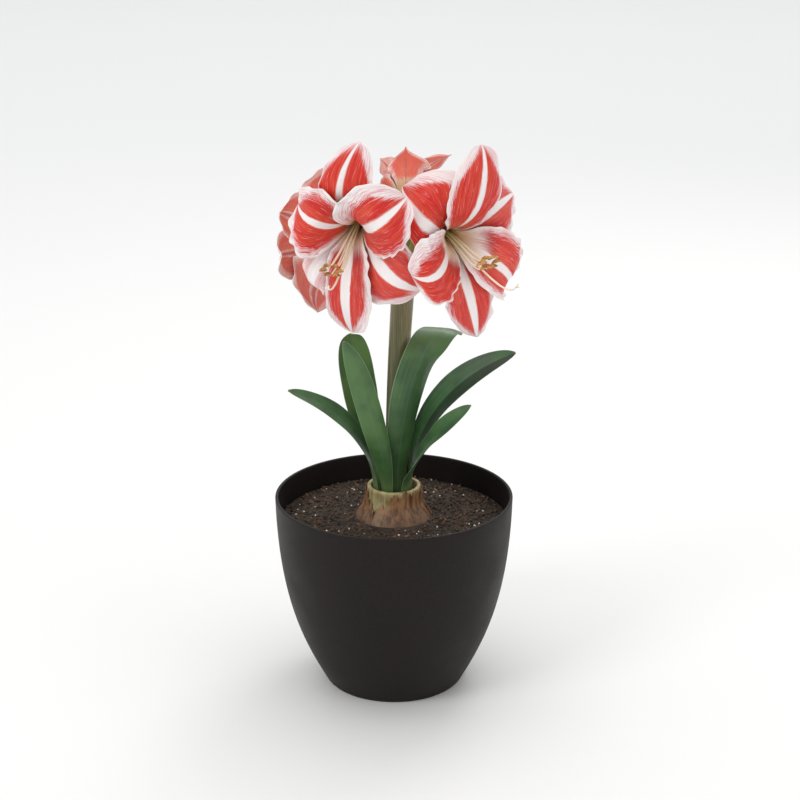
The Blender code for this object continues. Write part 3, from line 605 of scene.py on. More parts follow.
def stamenLine(flower, ends, clock, radii):
    look = stamenShape
    foot, axis, up, beside = flowerFrame(flower)
    length, droop, spread = (size * mm for size in ends)
    outward = up * math.cos(clock) + beside * math.sin(clock)
    rise = (flowerShape["tubeFloor"] + look["discRise"] + look["disc"][1] / 2) * mm
    start = foot + axis * rise + outward * look["ring"] * mm
    end = foot + axis * length - up * droop + beside * spread
    low = start + axis * (look["footPull"] * length) + outward * mm
    high = end - axis * (look["tipPull"] * length) - up * (look["sag"] * length)
    return stemLine((start, low, high, end), look["steps"], lambda share: blend(*radii, share))


def stamenEnds(flower):
    length, droop, spread = flower["filament"]
    longer, lower, wider = stamenShape["fan"]
    for k in range(stamenShape["count"]):
        clock = math.tau * (k + 0.5) / stamenShape["count"]
        yield clock, (length + longer * math.cos(3 * clock), droop - lower * math.cos(clock),
                      spread + wider * math.sin(clock))


def antherTree():  # one pollen sac in two lobes at each point, turned to the point's own frame
    given = startTree("anthersOnPoints", Length="Float", Radius="Float", Finish="Material")
    ball = geo("MeshIcoSphere", Radius=1.0, Subdivisions=4)
    place = geo("InputPosition")
    x, y, z = split(place)
    crease = grade(abs(y), 0.0, 0.35, 0.62, 1.0)
    girth = crease * given["Radius"] * (grain(place, 3.0) * 0.5 + 0.8)
    bow = x * x * (given["Radius"] * -0.9)
    shaped = join(x * (given["Length"] * 0.5), y * girth, z * girth + bow)
    sac = geo("SetPosition", Geometry=ball, Position=shaped)
    spin = put("FunctionNodeEulerToRotation", {0: named("turn", "FLOAT_VECTOR")})
    points = geo("MeshToPoints", Mesh=given["Geometry"])
    return endTree(geo("InstanceOnPoints", Points=points, Instance=sac, Rotation=spin), given["Finish"])


def pointMesh(name, points, turns):
    mesh = meshOf(name, [tuple(p) for p in points])
    mark(mesh, "turn", [tuple(turn) for turn in turns], "FLOAT_VECTOR", "vector")
    return mesh


def filamentFinish():
    begun = startFinish("filament", 0.38, Subsurface_Weight=0.2, Subsurface_Scale=0.003)
    along = trait("along")
    colour = layered((grade(along, 0.05, 0.5), (0.52, 0.55, 0.20), (0.86, 0.80, 0.62)),
                     (grade(along, 0.75, 1.0), (0.90, 0.84, 0.76)))
    return endFinish(begun, colour, grain(objectPlace(), 1400.0), 0.0001, 0.4)


def antherFinish():
    begun = startFinish("pollenSac", 0.85)
    place = objectPlace()
    dust = grain(place, 1500.0, 3.0, 0.7)
    colour = layered((grade(grain(place, 260.0), 0.38, 0.62), (0.26, 0.085, 0.022), (0.60, 0.31, 0.085)),
                     (grade(dust, 0.50, 0.70), (0.78, 0.52, 0.20)))
    return endFinish(begun, colour, dust, 0.0004)


anthers = antherTree()
filamentSkin, antherSkin = filamentFinish(), antherFinish()
for flower in flowers:
    look = stamenShape
    foot, axis, up, beside = flowerFrame(flower)
    lines, tips, turns = [], [], []
    for clock, ends in stamenEnds(flower):
        lines.append(stamenLine(flower, ends, clock, look["filament"]))
        line = lines[-1][0]
        along = unit(line[-1] - line[-2])
        across = unit(beside + along * 0.5)
        over = squareTo(up, across)
        facing = np.column_stack([across, np.cross(over, across), over])
        tips.append(line[-1] + over * 0.2 * mm)
        turns.append(Matrix(facing.tolist()).to_euler())
    lines.append(stamenLine(flower, flower["style"], math.pi, look["style"]))
    line = lines[-1][0]
    along = unit(line[-1] - line[-2])
    for k in range(3):  # the stigma's three lobes
        clock = math.tau * k / 3 + 0.5
        aside = up * math.cos(clock) + beside * math.sin(clock)
        lobe = [line[-1] + (along * 0.62 * t + squareTo(aside, along) * 0.55 * t * t) * look["stigma"] * mm
                for t in np.linspace(-0.1, 0.8, len(look["stigmaWidths"]))]
        lines.append((lobe, [width * mm for width in look["stigmaWidths"]]))
    centre = foot + axis * (flowerShape["tubeFloor"] + look["discRise"]) * mm
    lines.append(([centre, centre + axis * look["disc"][1] * mm], [look["disc"][0] * mm] * 2))
    filaments = grow("filaments_" + flower["name"], lineMesh("lines", lines), stems,
                     {"Sides": look["sides"], "Flatness": 1.0, "Finish": filamentSkin})
    dress(filaments, "stamens", "stamens_" + flower["name"])
    size = {"Length": look["antherLength"] * mm, "Radius": look["antherRadius"] * mm}
    sacs = grow("anthers_" + flower["name"], pointMesh("tips", tips, turns), anthers,
                {**size, "Finish": antherSkin})
    dress(sacs, "stamens")
print("stamens done")


# Stalk, flower stems and bracts

stalkShape = dict(
    foot=(1, 6.5), head=(9.2, 0, 389), radii=(9.5, 11.6), flatness=0.86, sides=64, steps=60,
    footPull=(-1.5, 0, 70), headPull=(-4, 1, -75), neckFloor=176.3,
)
stemShape = dict(radius=3.3, ovary=5.4, middle=0.84, span=0.16, sides=30, steps=40)


def stalkLine():
    look = stalkShape
    foot = np.array([*look["foot"], look["neckFloor"]]) * mm
    head = np.array(look["head"]) * mm
    bends = (foot + np.array(look["footPull"]) * mm, head + np.array(look["headPull"]) * mm)
    return stemLine((foot, *bends, head), look["steps"], lambda share: blend(*look["radii"], ease(share)))


def pedicelLine(flower):
    look = stemShape
    tubeFoot, axis, _, _ = flowerFrame(flower)
    x, y = flower["pedicelFoot"]
    startPull, endPull = (pull * mm for pull in flower["pedicelPull"])
    foot = np.array(stalkShape["head"]) * mm + np.array([x, y, 0.3]) * mm
    end = tubeFoot - axis * 0.3 * mm
    bends = (foot + np.array([0, 0, startPull]), end - axis * endPull)

    def radiusAt(share):
        return blend(look["radius"], look["ovary"], ease(1 - abs(share - look["middle"]) / look["span"]))

    return stemLine((foot, *bends, end), look["steps"], radiusAt)


def stalkFinish():
    begun = startFinish("stalkSkin", 0.42, Coat_Weight=0.08)
    place = objectPlace()
    lines = grain(stretched(place, 900.0, 900.0, 14.0), 1.0, 3.0)
    patches = grain(stretched(place, 60.0, 60.0, 9.0), 1.0)
    colour = layered((grade(patches, 0.35, 0.65), (0.090, 0.098, 0.036), (0.175, 0.160, 0.062)),
                     (grade(lines, 0.45, 0.70, 0.0, 0.5), (0.30, 0.23, 0.11)),
                     # painted shade: the stalk darker towards its foot, where the leaves and flowers shade it
                     (grade(split(place)[2], 0.36, 0.22, 0.0, 0.65), (0.045, 0.060, 0.020)))
    return endFinish(begun, colour, lines, 0.0004, 0.5)


def stemFinish():
    begun = startFinish("flowerStemSkin", 0.42, Subsurface_Weight=0.05, Subsurface_Scale=0.003)
    place = objectPlace()
    colour = layered((grade(grain(place, 90.0, 3.0), 0.35, 0.65), (0.17, 0.22, 0.06), (0.27, 0.27, 0.09)),
                     (grade(trait("along"), 0.80, 1.0), (0.42, 0.34, 0.12)))
    return endFinish(begun, colour, grain(place, 500.0), 0.0003, 0.4)


stalk = grow("scape", lineMesh("line", [stalkLine()]), stems,
             {"Sides": stalkShape["sides"], "Flatness": stalkShape["flatness"], "Finish": stalkFinish()})
dress(stalk, "stalk", "stalk")
stemSkin = stemFinish()
for flower in flowers:
    stem = grow("flowerStem_" + flower["name"], lineMesh("line", [pedicelLine(flower)]), stems,
                {"Sides": stemShape["sides"], "Flatness": 1.0, "Finish": stemSkin})
    dress(stem, "pedicel", "pedicel_" + flower["name"])

bractShape = dict(
    rows=50, columns=26, thickness=0.8, lap=9, bend=0.26, crumple=0.9,
    bracts=[
        dict(name="bract_right_front", side=-38, bends=((5, 12), (15, 10)), tip=(19, -24), half=6.5),
        dict(name="bract_back", side=80, bends=((4, 12), (15, 22)), tip=(32, 6), half=7.0),
    ],
)


def bractPart(bract):
    look = bractShape
    side = math.radians(bract["side"])
    outward = np.array([math.cos(side), math.sin(side), 0.0])
    across = np.array([-math.sin(side), math.cos(side), 0.0])
    stalkRadius = stalkShape["radii"][1] / math.hypot(math.cos(side), math.sin(side) / stalkShape["flatness"])
    lap = stalkRadius + 0.3 + look["thickness"]
    bends = (*bract["bends"], bract["tip"])
    line = [np.array([lap, -look["lap"]])] + [np.array([lap + a, b]) for a, b in bends]
    share = np.linspace(0, 1, look["rows"])
    place = np.array([bezier(*line, s) for s in share])
    slope = unit(np.gradient(place, axis=0))
    v = np.linspace(-1, 1, look["columns"])
    half = np.maximum(bract["half"] * (1 - share**1.7), 0.7)
    normal = outward * slope[:, 1:2] - upward * slope[:, 0:1]
    free = ease((share - 0.35) / 0.3)[:, None]
    crumple = look["crumple"] * np.sin(9 * share[:, None] + 5 * v + side) * np.abs(v) * free
    crumple = crumple * np.minimum(half / 4, 1)[:, None]
    bend = look["bend"] * half[:, None] * v**2 - crumple
    head = np.array(stalkShape["head"])
    middle = head + outward * place[:, None, 0:1] + upward * place[:, None, 1:2]
    middle = middle + across * (v * half[:, None])[..., None] - normal[:, None, :] * bend[..., None]
    return sheetPart(middle * mm, normal[:, None, :] * (look["thickness"] / 2 * mm), v, share[:, None])


def bractFinish():
    begun = startFinish("witheredSheath", 0.62, Subsurface_Weight=0.1, Subsurface_Scale=0.003)
    u, share = skinPlace()
    veins = grain(join(u * 30.0, share * 3.0), 1.0, 3.0, 0.6)
    blotch = grain(objectPlace(), 150.0)
    colour = layered((grade(veins, 0.35, 0.65), (0.34, 0.13, 0.045), (0.62, 0.30, 0.13)),
                     (grade(blotch, 0.55, 0.72, 0.0, 0.7), (0.66, 0.26, 0.04)),
                     (grade(share, 0.30, 0.05, 0.0, 0.7), (0.26, 0.25, 0.09)))
    return endFinish(begun, colour, veins, 0.0005, 0.8)


sheathSkin = bractFinish()
for bract in bractShape["bracts"]:
    dress(joinParts("sheath_" + bract["name"], [bractPart(bract)], [sheathSkin]), "bract", bract["name"])
print("stalk, flower stems and bracts done")


# Leaves

leafShape = dict(
    rows=110, columns=20, thickness=(2.3, 1.4), margin=0.35, widest=0.5, turn=0.45, neckFloor=176.3,
    groove=0.5,  # mm, the narrow channel along the midrib
    ribs=0.07,  # mm, relief of the lines that run the leaf's length
    sway=0.5,  # mm, how much the margins wave
    leaves=[
        dict(name="leaf_left_low", base=(-17.0, -3.0), lean=190, bends=((-17, -8, 236), (-53, -26, 269)),
             tip=(-91, -34, 285), faces=((0.30, -0.50, 0.8), (-0.2, -0.55, 0.8)), half=(6.5, 9.5),
             channel=0.30, tone=0.35, shade=0.0),
        dict(name="leaf_left_front", base=(-6.6, -10.0), lean=236, bends=((-6, -30, 224), (-29, -40, 302)),
             tip=(-43, -36, 330), faces=((-0.35, 0.9, 0.25), (0.1, 0.8, 0.55)), half=(5.8, 10.8),
             channel=0.22, tone=0.60, shade=0.0),
        dict(name="leaf_left_back", base=(-11.2, 7.8), lean=145, bends=((-27, 20, 233), (-40, 24, 318)),
             tip=(-38, 20, 320), faces=((0.35, -0.93, 0.1), (0.3, -0.9, 0.3)), half=(4.8, 16.0),
             channel=0.20, tone=1.00, shade=0.0),
        dict(name="leaf_right_tall", base=(4.4, -7.0), lean=-80, bends=((-1, -17, 240), (24, -34, 366)),
             tip=(60, 38, 314), faces=((-0.45, 0.85, 0.3), (0.2, 0.3, -1.0)), half=(6.6, 16.6),
             channel=0.20, tone=0.45, shade=0.0),
        dict(name="leaf_right_long", base=(15.0, 0.0), lean=0, bends=((13, -4, 248), (55, -22, 298)),
             tip=(105, -24, 316), faces=((-0.65, -0.6, 0.5), (-0.3, -0.75, 0.6)), half=(7.2, 13.6),
             channel=0.26, tone=0.20, shade=1.0),
        dict(name="leaf_right_short", base=(9.6, -12.4), lean=-52, bends=((13, -17, 216), (38, -44, 252)),
             tip=(66, -50, 277), faces=((-0.6, -0.25, 0.75), (-0.3, -0.7, 0.65)), half=(4.2, 10.4),
             channel=0.28, tone=0.30, shade=0.0),
    ],
)


def leafPart(leaf):
    look = leafShape
    x, y = leaf["base"]
    foot = np.array([x, y, look["neckFloor"]])
    line = [foot] + [np.array(point, float) for point in (*leaf["bends"], leaf["tip"])]
    share = np.linspace(0, 1, look["rows"])[:, None]
    spine = bezier(*line, share)
    step = 0.004  # share of the leaf over which its direction is taken
    along = bezier(*line, np.minimum(share + step, 1)) - bezier(*line, np.maximum(share - step, 0))
    along[0] = (0, 0, 1)
    along = unit(along)
    lean = math.radians(leaf["lean"])
    inward = np.array([-math.cos(lean), -math.sin(lean), 0.0])
    middleFace, endFace = (unit(np.array(face, float)) for face in leaf["faces"])
    early = blend(inward, middleFace, ease(share / look["turn"]))
    late = blend(middleFace, endFace, ease((share - look["turn"]) / (1 - look["turn"])))
    face = squareTo(np.where(share < look["turn"], early, late), along)
    across = np.cross(along, face)
    base, widest = leaf["half"]
    beyond = np.clip((share - look["widest"]) / (1 - look["widest"]), 0, 1)
    low = blend(base, widest, ease(share / look["widest"]))
    half = np.where(share < look["widest"], low, np.maximum(widest * (1 - beyond**2.5) ** 0.65, 0.9))
    v = np.sin(np.linspace(-1, 1, look["columns"]) * math.pi / 2)[None, :]
    narrow = np.minimum(half / 6, 1)
    sway = look["sway"] * np.sin(15 * share + lean + 1.5 * v) * np.abs(v) ** 3 * ease(share / 0.3) * narrow
    lift = leaf["channel"] * half * v * v + sway
    groove = look["groove"] * np.exp(-((v / 0.10) ** 2)) * narrow * ease(share / 0.1)
    ribs = look["ribs"] * np.cos(22 * v) * (1 - v * v)
    middle = spine[:, None, :] + across[:, None, :] * (v * half)[..., None]
    normal = face[:, None, :]
    thick = blend(*look["thickness"], share) * blend(1, look["margin"], v * v) / 2
    thick = thick * np.sqrt(np.clip(1.02 - np.abs(v) ** 8, 0.1, 1))
    middle = middle + normal * (lift - groove * 0.6)[..., None]
    offset = normal * (thick - groove * 0.1 + ribs)[..., None]
    traits = dict(tone=leaf["tone"], shade=leaf["shade"], seed=leaf["lean"] % 10)
    return sheetPart(middle * mm, offset * mm, v, share, traits=traits)


def leafFinish():
    begun = startFinish("leafSkin", 0.40, Coat_Weight=0.10, Coat_Roughness=0.3)
    u, share = skinPlace()
    side = u * 2.0 - 1.0
    v, tone, place = abs(side), trait("tone"), objectPlace()
    veins = grain(join(u * 70.0, share * 3.0, trait("seed")), 1.0, 3.0, 0.6)
    dark = tint(tone, (0.007, 0.034, 0.012), (0.050, 0.125, 0.026))
    light = tint(tone, (0.020, 0.085, 0.026), (0.105, 0.205, 0.042))
    colour = layered((grade(grain(place, 38.0), 0.34, 0.66), dark, light),
                     (grade(veins, 0.42, 0.66, 0.0, 0.38), (0.075, 0.19, 0.085)),  # lines along the leaf
                     (grade(side * trait("shade"), 0.02, 0.10) * 0.72, (0.006, 0.013, 0.008)),  # in shade
                     (grade(v, 0.0, 0.09, 0.40, 0.0), (0.065, 0.17, 0.085)),  # midrib, paler partly as a painted highlight along the leaf's centre
                     (grade(v, 0.955, 0.995, 0.0, 0.8), (0.24, 0.36, 0.22)),  # pale margins
                     (grade(share, 0.985, 1.0, 0.0, 0.6), (0.26, 0.20, 0.09)),  # dry tip
                     (grade(share, 0.20, 0.02, 0.0, 0.6), (0.17, 0.25, 0.10)))  # pale foot
    return endFinish(begun, colour, grain(place, 1100.0) * 0.25 + veins, 0.0003, 0.6)


leafSkin = leafFinish()
for leaf in leafShape["leaves"]:
    dress(joinParts("blade_" + leaf["name"], [leafPart(leaf)], [leafSkin]), "leaf", leaf["name"])
print("leaves done")


# Bulb, with the papery skins round its neck

bulbShape = dict(
    foot=92.0, height=94.0, belly=44.0, neck=20.4, neckDepth=10.0, sides=150, ribs=15, ribHeight=0.7,
    outline=((0.30, 0.00), (0.62, 0.05), (0.88, 0.17), (1.00, 0.36), (0.95, 0.53),
             (0.79, 0.67), (0.62, 0.79), (0.555, 0.88), (0.545, 0.985)),
    skins=11, skinThickness=0.35, skinRows=34, skinColumns=30,
    skinTurn=2.39996,  # the golden angle, so that no skin lines up with the next
    skinFoot=0.58, skinTop=0.93, skinHalf=0.62, skinStand=0.75, skinPeel=2.6,
)


def smoothLine(points, steps):  # Catmull-Rom through an outline's points
    points = np.array(points, float)
    padded = np.concatenate([[2 * points[0] - points[1]], points, [2 * points[-1] - points[-2]]])
    line = []
    for k in range(1, len(padded) - 2):
        a, b, c, d = padded[k - 1:k + 3]
        for t in np.arange(steps) / steps:
            low = 2 * b + (c - a) * t
            line.append(0.5 * (low + (2 * a - 5 * b + 4 * c - d) * t**2 + (3 * b - a - 3 * c + d) * t**3))
    return np.array(line + [points[-1]])


def bulbLine():
    look = bulbShape
    return smoothLine([(look["belly"] * r, look["foot"] + look["height"] * z) for r, z in look["outline"]], 6)


def bulbPart():
    look = bulbShape
    line = bulbLine()
    top = look["foot"] + look["height"]
    rim = line[-1][0]
    neck, floor = look["neck"], top - look["neckDepth"]
    profile = [(0, look["foot"])] + [tuple(p) for p in line]
    profile += [(rim - 0.4, top - 0.3), (rim - 1.2, top), (neck + 0.9, top), (neck + 0.2, top - 0.4),
                (neck, top - 1.2), (neck, floor + 3), (neck, floor), (0, floor)]

    def ribbed(grid):
        x, y, z = grid[..., 0], grid[..., 1], grid[..., 2]
        radius, turn = np.hypot(x, y), np.arctan2(y, x)
        outside = np.where(radius > (rim - 0.5) * mm, 1.0, 0.0)
        rise = (z / mm - look["foot"]) / look["height"]
        rib = look["ribHeight"] * np.cos(look["ribs"] * turn + 0.6 * np.sin(3 * turn)) * ease(1.2 - rise)
        fine = 0.12 * np.cos(61 * turn + 2 * np.sin(5 * turn))
        grid[..., :2] *= (1 + outside * (rib * 0.8 + fine) * mm / np.maximum(radius, mm))[..., None]
        return grid

    return lathePart([(r * mm, z * mm) for r, z in profile], look["sides"], 0, ribbed)


def skinParts():  # torn papery skins that lap round the bulb's shoulder and neck
    look = bulbShape
    line = bulbLine()
    parts = []
    for k in range(look["skins"]):
        seed = 7.3 * k
        middle = look["skinTurn"] * k + 0.4
        width = look["skinHalf"] + 0.30 * math.sin(seed)
        top = look["skinTop"] + 0.065 * math.sin(2.3 * seed)
        stand = look["skinStand"] + 0.16 * (k % 5)
        v = np.linspace(-1, 1, look["skinColumns"])[None, :]
        t = np.linspace(0, 1, look["skinRows"])[:, None]
        turn = middle + v * width * (1 - 0.25 * t**2)
        torn = 0.030 * np.sin(9 * v + seed) + 0.018 * np.sin(23 * v + 2 * seed)
        torn = torn + 0.012 * np.sin(47 * v - seed)
        rise = blend(look["skinFoot"], top + torn - 0.05 * v**2, t)
        height = look["foot"] + look["height"] * rise
        radius = np.interp(height, line[:, 1], line[:, 0])
        peel = look["skinPeel"] * (t**6) * (0.5 + 0.5 * np.sin(1.7 * seed)) * (1 - 0.4 * v**2)
        edge = 0.8 * np.abs(v) ** 6 * (0.5 + 0.5 * np.sin(11 * t + seed))
        wrinkle = 0.16 * np.cos(40 * turn + 3 * np.sin(4 * t + seed)) + 0.10 * np.sin(13 * t + 6 * v)
        out = radius + stand + peel + edge + wrinkle
        direction = np.stack([np.cos(turn), np.sin(turn), 0 * turn], -1)
        half = look["skinThickness"] / 2
        middle = direction * (out - half)[..., None] + upward * height[..., None]
        parts.append(sheetPart(middle * mm, direction * (half * mm), v, t, (1, 1), dict(seed=seed % 10)))
    return parts


def bulbFinish(name, dark, light, streak):
    begun = startFinish(name, 0.5)
    place = objectPlace()
    lines = grain(stretched(place, 260.0, 260.0, 22.0), 1.0, 4.0, 0.6)
    colour = layered((grade(lines, 0.36, 0.64), dark, light),
                     (grade(grain(place, 55.0, 3.0), 0.48, 0.70, 0.0, 0.7), streak),
                     # painted shade: darker from the planter's rim down to the soil, inside the pot
                     (grade(split(place)[2], 0.176, 0.154, 0.0, 0.6), (0.050, 0.024, 0.012)))
    return endFinish(begun, colour, lines, 0.0008, 0.7)


bulbSkins = [bulbFinish("bulbScale", (0.20, 0.13, 0.055), (0.40, 0.33, 0.15), (0.42, 0.42, 0.20)),
             bulbFinish("paperySkin", (0.105, 0.045, 0.018), (0.30, 0.145, 0.060), (0.42, 0.24, 0.11))]
bulb = joinParts("bulbBody", [bulbPart()] + skinParts(), bulbSkins)
dress(bulb, "bulb_skin", "bulb")
print("bulb done")


# Planter, swept round its axis from one outline

potShape = dict(
    rim=106.5, base=62.5, height=176.5, wall=2.8, floor=4.0, footEdge=1.5, rimEdge=0.9,
    belly=((0.80, 0.23), (0.985, 0.47)), sides=200, steps=64, arc=5,
    corner=((1.2, 3), (-0.8, 1), (-4, 0)), lean=0.55,  # mm, how the inside turns from wall to floor
)


def potLine(share, inset):
    look = potShape
    (lowR, lowZ), (highR, highZ) = look["belly"]
    curve = (np.array([look["base"], 0.0]), np.array([lowR * look["rim"], lowZ * look["height"]]),
             np.array([highR * look["rim"], highZ * look["height"]]), np.array([look["rim"], look["height"]]))
    slope = unit(bezier(*curve, share + 0.001) - bezier(*curve, share - 0.001))
    return bezier(*curve, share) + np.array([-slope[1], slope[0]]) * inset


def lining(inset, floor, top, steps):
    points = [potLine(1 - k / steps, inset) for k in range(steps)]
    wall = [tuple(p) for p in points if floor + 6 < p[1] < top]
    corner = wall[-1][0] - (wall[-1][1] - floor) * potShape["lean"]
    return wall + [(corner + aside, floor + rise) for aside, rise in potShape["corner"]]


def potOutline():
    look = potShape
    edge = look["rimEdge"]
    soft, foot = look["footEdge"], look["base"] - look["footEdge"]
    points = [(0, 0), (look["base"] - 12, 0), (foot, 0)]
    for k in range(1, look["arc"] + 1):  # the foot's rounded edge
        angle = math.pi / 2 * k / (look["arc"] + 1)
        points.append((foot + (soft + 0.3) * math.sin(angle), soft * (1 - math.cos(angle))))
    wall = [tuple(potLine(k / look["steps"], 0)) for k in range(1, look["steps"])]
    points += [point for point in wall if point[1] < look["height"] - 2]
    outer = (look["rim"] - edge, look["height"] - edge)
    innerX = look["rim"] - look["wall"] + edge
    turns = np.linspace(0, math.pi / 2, look["arc"])
    points += [(outer[0] + edge * math.cos(turn), outer[1] + edge * math.sin(turn)) for turn in turns]
    points += [(innerX - edge * math.sin(turn), outer[1] + edge * math.cos(turn)) for turn in turns]
    points += lining(look["wall"], look["floor"], look["height"] - 2, look["steps"]) + [(0, look["floor"])]
    return points


def sweepTree():  # sweeps an outline round the upright axis and closes it at its poles
    given = startTree("outlineRoundAxis", Sides="Int", Radius="Float", Finish="Material")
    outline = geo("MeshToCurve", Mesh=given["Geometry"])
    ring = geo("CurvePrimitiveCircle", Resolution=given["Sides"], Radius=given["Radius"])
    shell = geo("CurveToMesh", Curve=ring, Profile_Curve=outline)
    return endTree(geo("MergeByDistance", Geometry=shell, Distance=0.00001), given["Finish"])


def potFinish():
    finish, shader = startFinish("moulded", 0.55, Specular_IOR_Level=0.22)
    place = objectPlace()
    cloud = grain(place, 24.0, 3.0)
    speck = grain(place, 1300.0)
    colour = layered((grade(cloud, 0.3, 0.7), (0.0062, 0.0036, 0.0034), (0.0090, 0.0056, 0.0052)),
                     (grade(speck, 0.56, 0.70, 0.0, 0.5), (0.024, 0.017, 0.016)))
    draft.links.new(grade(cloud, 0.3, 0.7, 0.50, 0.60).socket, shader.inputs["Roughness"])
    return endFinish((finish, shader), colour, speck, 0.00025, 0.6)


potPoints = [((r - potShape["rim"]) * mm, -z * mm, 0) for r, z in potOutline()]
outline = meshOf("potOutline", potPoints, [(k, k + 1) for k in range(len(potPoints) - 1)])
pot = grow("planterShell", outline, sweepTree(),
           {"Sides": potShape["sides"], "Radius": potShape["rim"] * mm, "Finish": potFinish()})
dress(pot, "planter", "pot")
print("planter done")


# Soil: one crumbly fill, and loose crumbs, bark and white grains lying on it

soilShape = dict(
    level=152.5, mound=5.0, clod=3.4, wallGap=0.5, sides=220, rings=70, fine=0.9,
    lumpSizes=(11, 3.1, 1.3),  # mm, of the clods and of two finer roughnesses
    stripRings=36, stripSides=120, stripSpan=(0.025, 0.965),
    loose=[  # name, how many, sizes in mm, stretch, seed, then finish name, dark and light
        ("soilCrumbs", 2200, (0.6, 2.2), (1.0, 0.85, 0.7), 4,
         "soilCrumb", (0.020, 0.012, 0.008), (0.075, 0.046, 0.027)),
        ("soilBark", 150, (1.1, 2.6), (1.6, 0.7, 0.4), 11,
         "barkChip", (0.055, 0.026, 0.013), (0.17, 0.085, 0.042)),
        ("soilPerlite", 90, (0.5, 1.3), (1.0, 0.9, 0.85), 23,
         "whiteGrain", (0.50, 0.47, 0.42), (0.72, 0.70, 0.66)),
    ],
)


def soilTop(x, y, share):  # height of the soil's surface, mm
    look = soilShape
    rise = blend(look["level"], look["level"] + look["mound"], ease(share))
    clod, crumb, grit = look["lumpSizes"]
    lump = look["clod"] * noise.noise(Vector((x, y, rise)) / clod) * 0.75
    small = look["fine"] * noise.noise(Vector((x, y, 0)) / crumb)
    lump += small + 0.4 * look["fine"] * noise.noise(Vector((x, y, 9)) / grit)
    edge = ease(share / 0.06) * ease((1 - share) / 0.06)
    return rise + lump * edge


def soilPart():
    look = soilShape
    bulbOuter = bulbLine()
    gap = bulbShape["ribHeight"] + 0.5
    mouthZ = look["level"] + look["mound"]
    mouth = float(np.interp(mouthZ, bulbOuter[:, 1], bulbOuter[:, 0])) + gap + 0.4
    wall = lining(potShape["wall"] + look["wallGap"], potShape["floor"] + 0.3, look["level"] - 4, 24)
    edge = [potLine(k / 60, potShape["wall"] + look["wallGap"]) for k in range(20, 61)]
    edgeRadius = float(np.interp(look["level"], [p[1] for p in edge], [p[0] for p in edge]))
    profile = [(0, potShape["floor"] + 0.3)] + wall[::-1]
    first = len(profile) - 1
    for k in range(look["rings"] + 1):
        profile.append((blend(edgeRadius, mouth, k / look["rings"]), look["level"]))
    bowl = [(r + gap, z) for r, z in bulbOuter[::-1] if bulbShape["foot"] < z < mouthZ - 1.5]
    profile += bowl + [(bulbOuter[0][0], bulbShape["foot"] - 0.3), (0, bulbShape["foot"] - 0.3)]

    def crumbly(grid):
        for ring in range(first, first + look["rings"] + 1):
            share = (ring - first) / look["rings"]
            for k in range(grid.shape[1]):
                x, y = grid[ring, k, 0] / mm, grid[ring, k, 1] / mm
                grid[ring, k, 2] = soilTop(x, y, share) * mm
        return grid

    part = lathePart([(r * mm, z * mm) for r, z in profile], look["sides"], 0, crumbly)
    return part, edgeRadius, mouth


def crumbTree():  # loose bits scattered on a surface, each turned, scaled and roughened its own way
    given = startTree("crumbsOnSoil", Count="Float", Smallest="Float", Largest="Float", Stretch="Vector",
                      Seed="Int", Finish="Material")
    seed = given["Seed"]
    spots = geo("DistributePointsOnFaces", Mesh=given["Geometry"], Density=given["Count"], Seed=seed)
    ball = geo("MeshIcoSphere", Radius=1.0, Subdivisions=2)
    spin = put("FunctionNodeRandomValue", {0: (0.0, 0.0, 0.0), 1: (math.tau,) * 3, "Seed": seed},
               data_type="FLOAT_VECTOR")
    size = put("FunctionNodeRandomValue", {2: given["Smallest"], 3: given["Largest"], "Seed": seed}, 1,
               data_type="FLOAT")
    scale = put("ShaderNodeVectorMath", {0: given["Stretch"], "Scale": size}, operation="SCALE")
    placed = geo("InstanceOnPoints", Points=spots, Instance=ball, Rotation=spin, Scale=scale)
    loose = geo("RealizeInstances", Geometry=placed)
    place = geo("InputPosition")
    lumps = put("ShaderNodeTexNoise", {"Vector": place, "Scale": 420.0, "Detail": 2.0}, "Color")
    centred = put("ShaderNodeVectorMath", {0: lumps, 1: (0.5, 0.5, 0.5)}, operation="SUBTRACT")
    push = put("ShaderNodeVectorMath", {0: centred, "Scale": given["Largest"]}, operation="SCALE")
    return endTree(geo("SetPosition", Geometry=loose, Offset=push), given["Finish"])


def soilFinish():
    begun = startFinish("pottingSoil", 0.95)
    place = objectPlace()
    crumbs = grain(place, 420.0, 5.0, 0.65)
    patches = grade(grain(place, 60.0, 3.0), 0.35, 0.65)
    colour = layered((patches, (0.018, 0.011, 0.007), (0.040, 0.025, 0.015)),
                     (grade(crumbs, 0.52, 0.72, 0.0, 0.8), (0.085, 0.052, 0.030)))
    return endFinish(begun, colour, crumbs, 0.0016)


def bitFinish(name, dark, light):
    begun = startFinish(name, 0.9)
    place = objectPlace()
    colour = tint(grade(grain(place, 300.0, 3.0), 0.35, 0.65), dark, light)
    return endFinish(begun, colour, grain(place, 1600.0, 3.0), 0.0003, 0.8)


def surfaceStrip(edgeRadius, mouth):  # the soil's open surface alone, for the scattering
    look = soilShape
    rings, sides = look["stripRings"], look["stripSides"]
    points = []
    for ring in range(rings + 1):
        share = blend(*look["stripSpan"], ring / rings)
        radius = blend(edgeRadius, mouth, share)
        for k in range(sides):
            x, y = radius * math.cos(math.tau * k / sides), radius * math.sin(math.tau * k / sides)
            points.append((x * mm, y * mm, soilTop(x, y, share) * mm))
    faces = []
    for ring in range(rings):
        for k in range(sides):
            a, b = ring * sides + k, ring * sides + (k + 1) % sides
            faces.append((a, b, b + sides, a + sides))
    return meshOf("soilSurface", points, faces=faces), math.pi * (edgeRadius**2 - mouth**2) * mm * mm


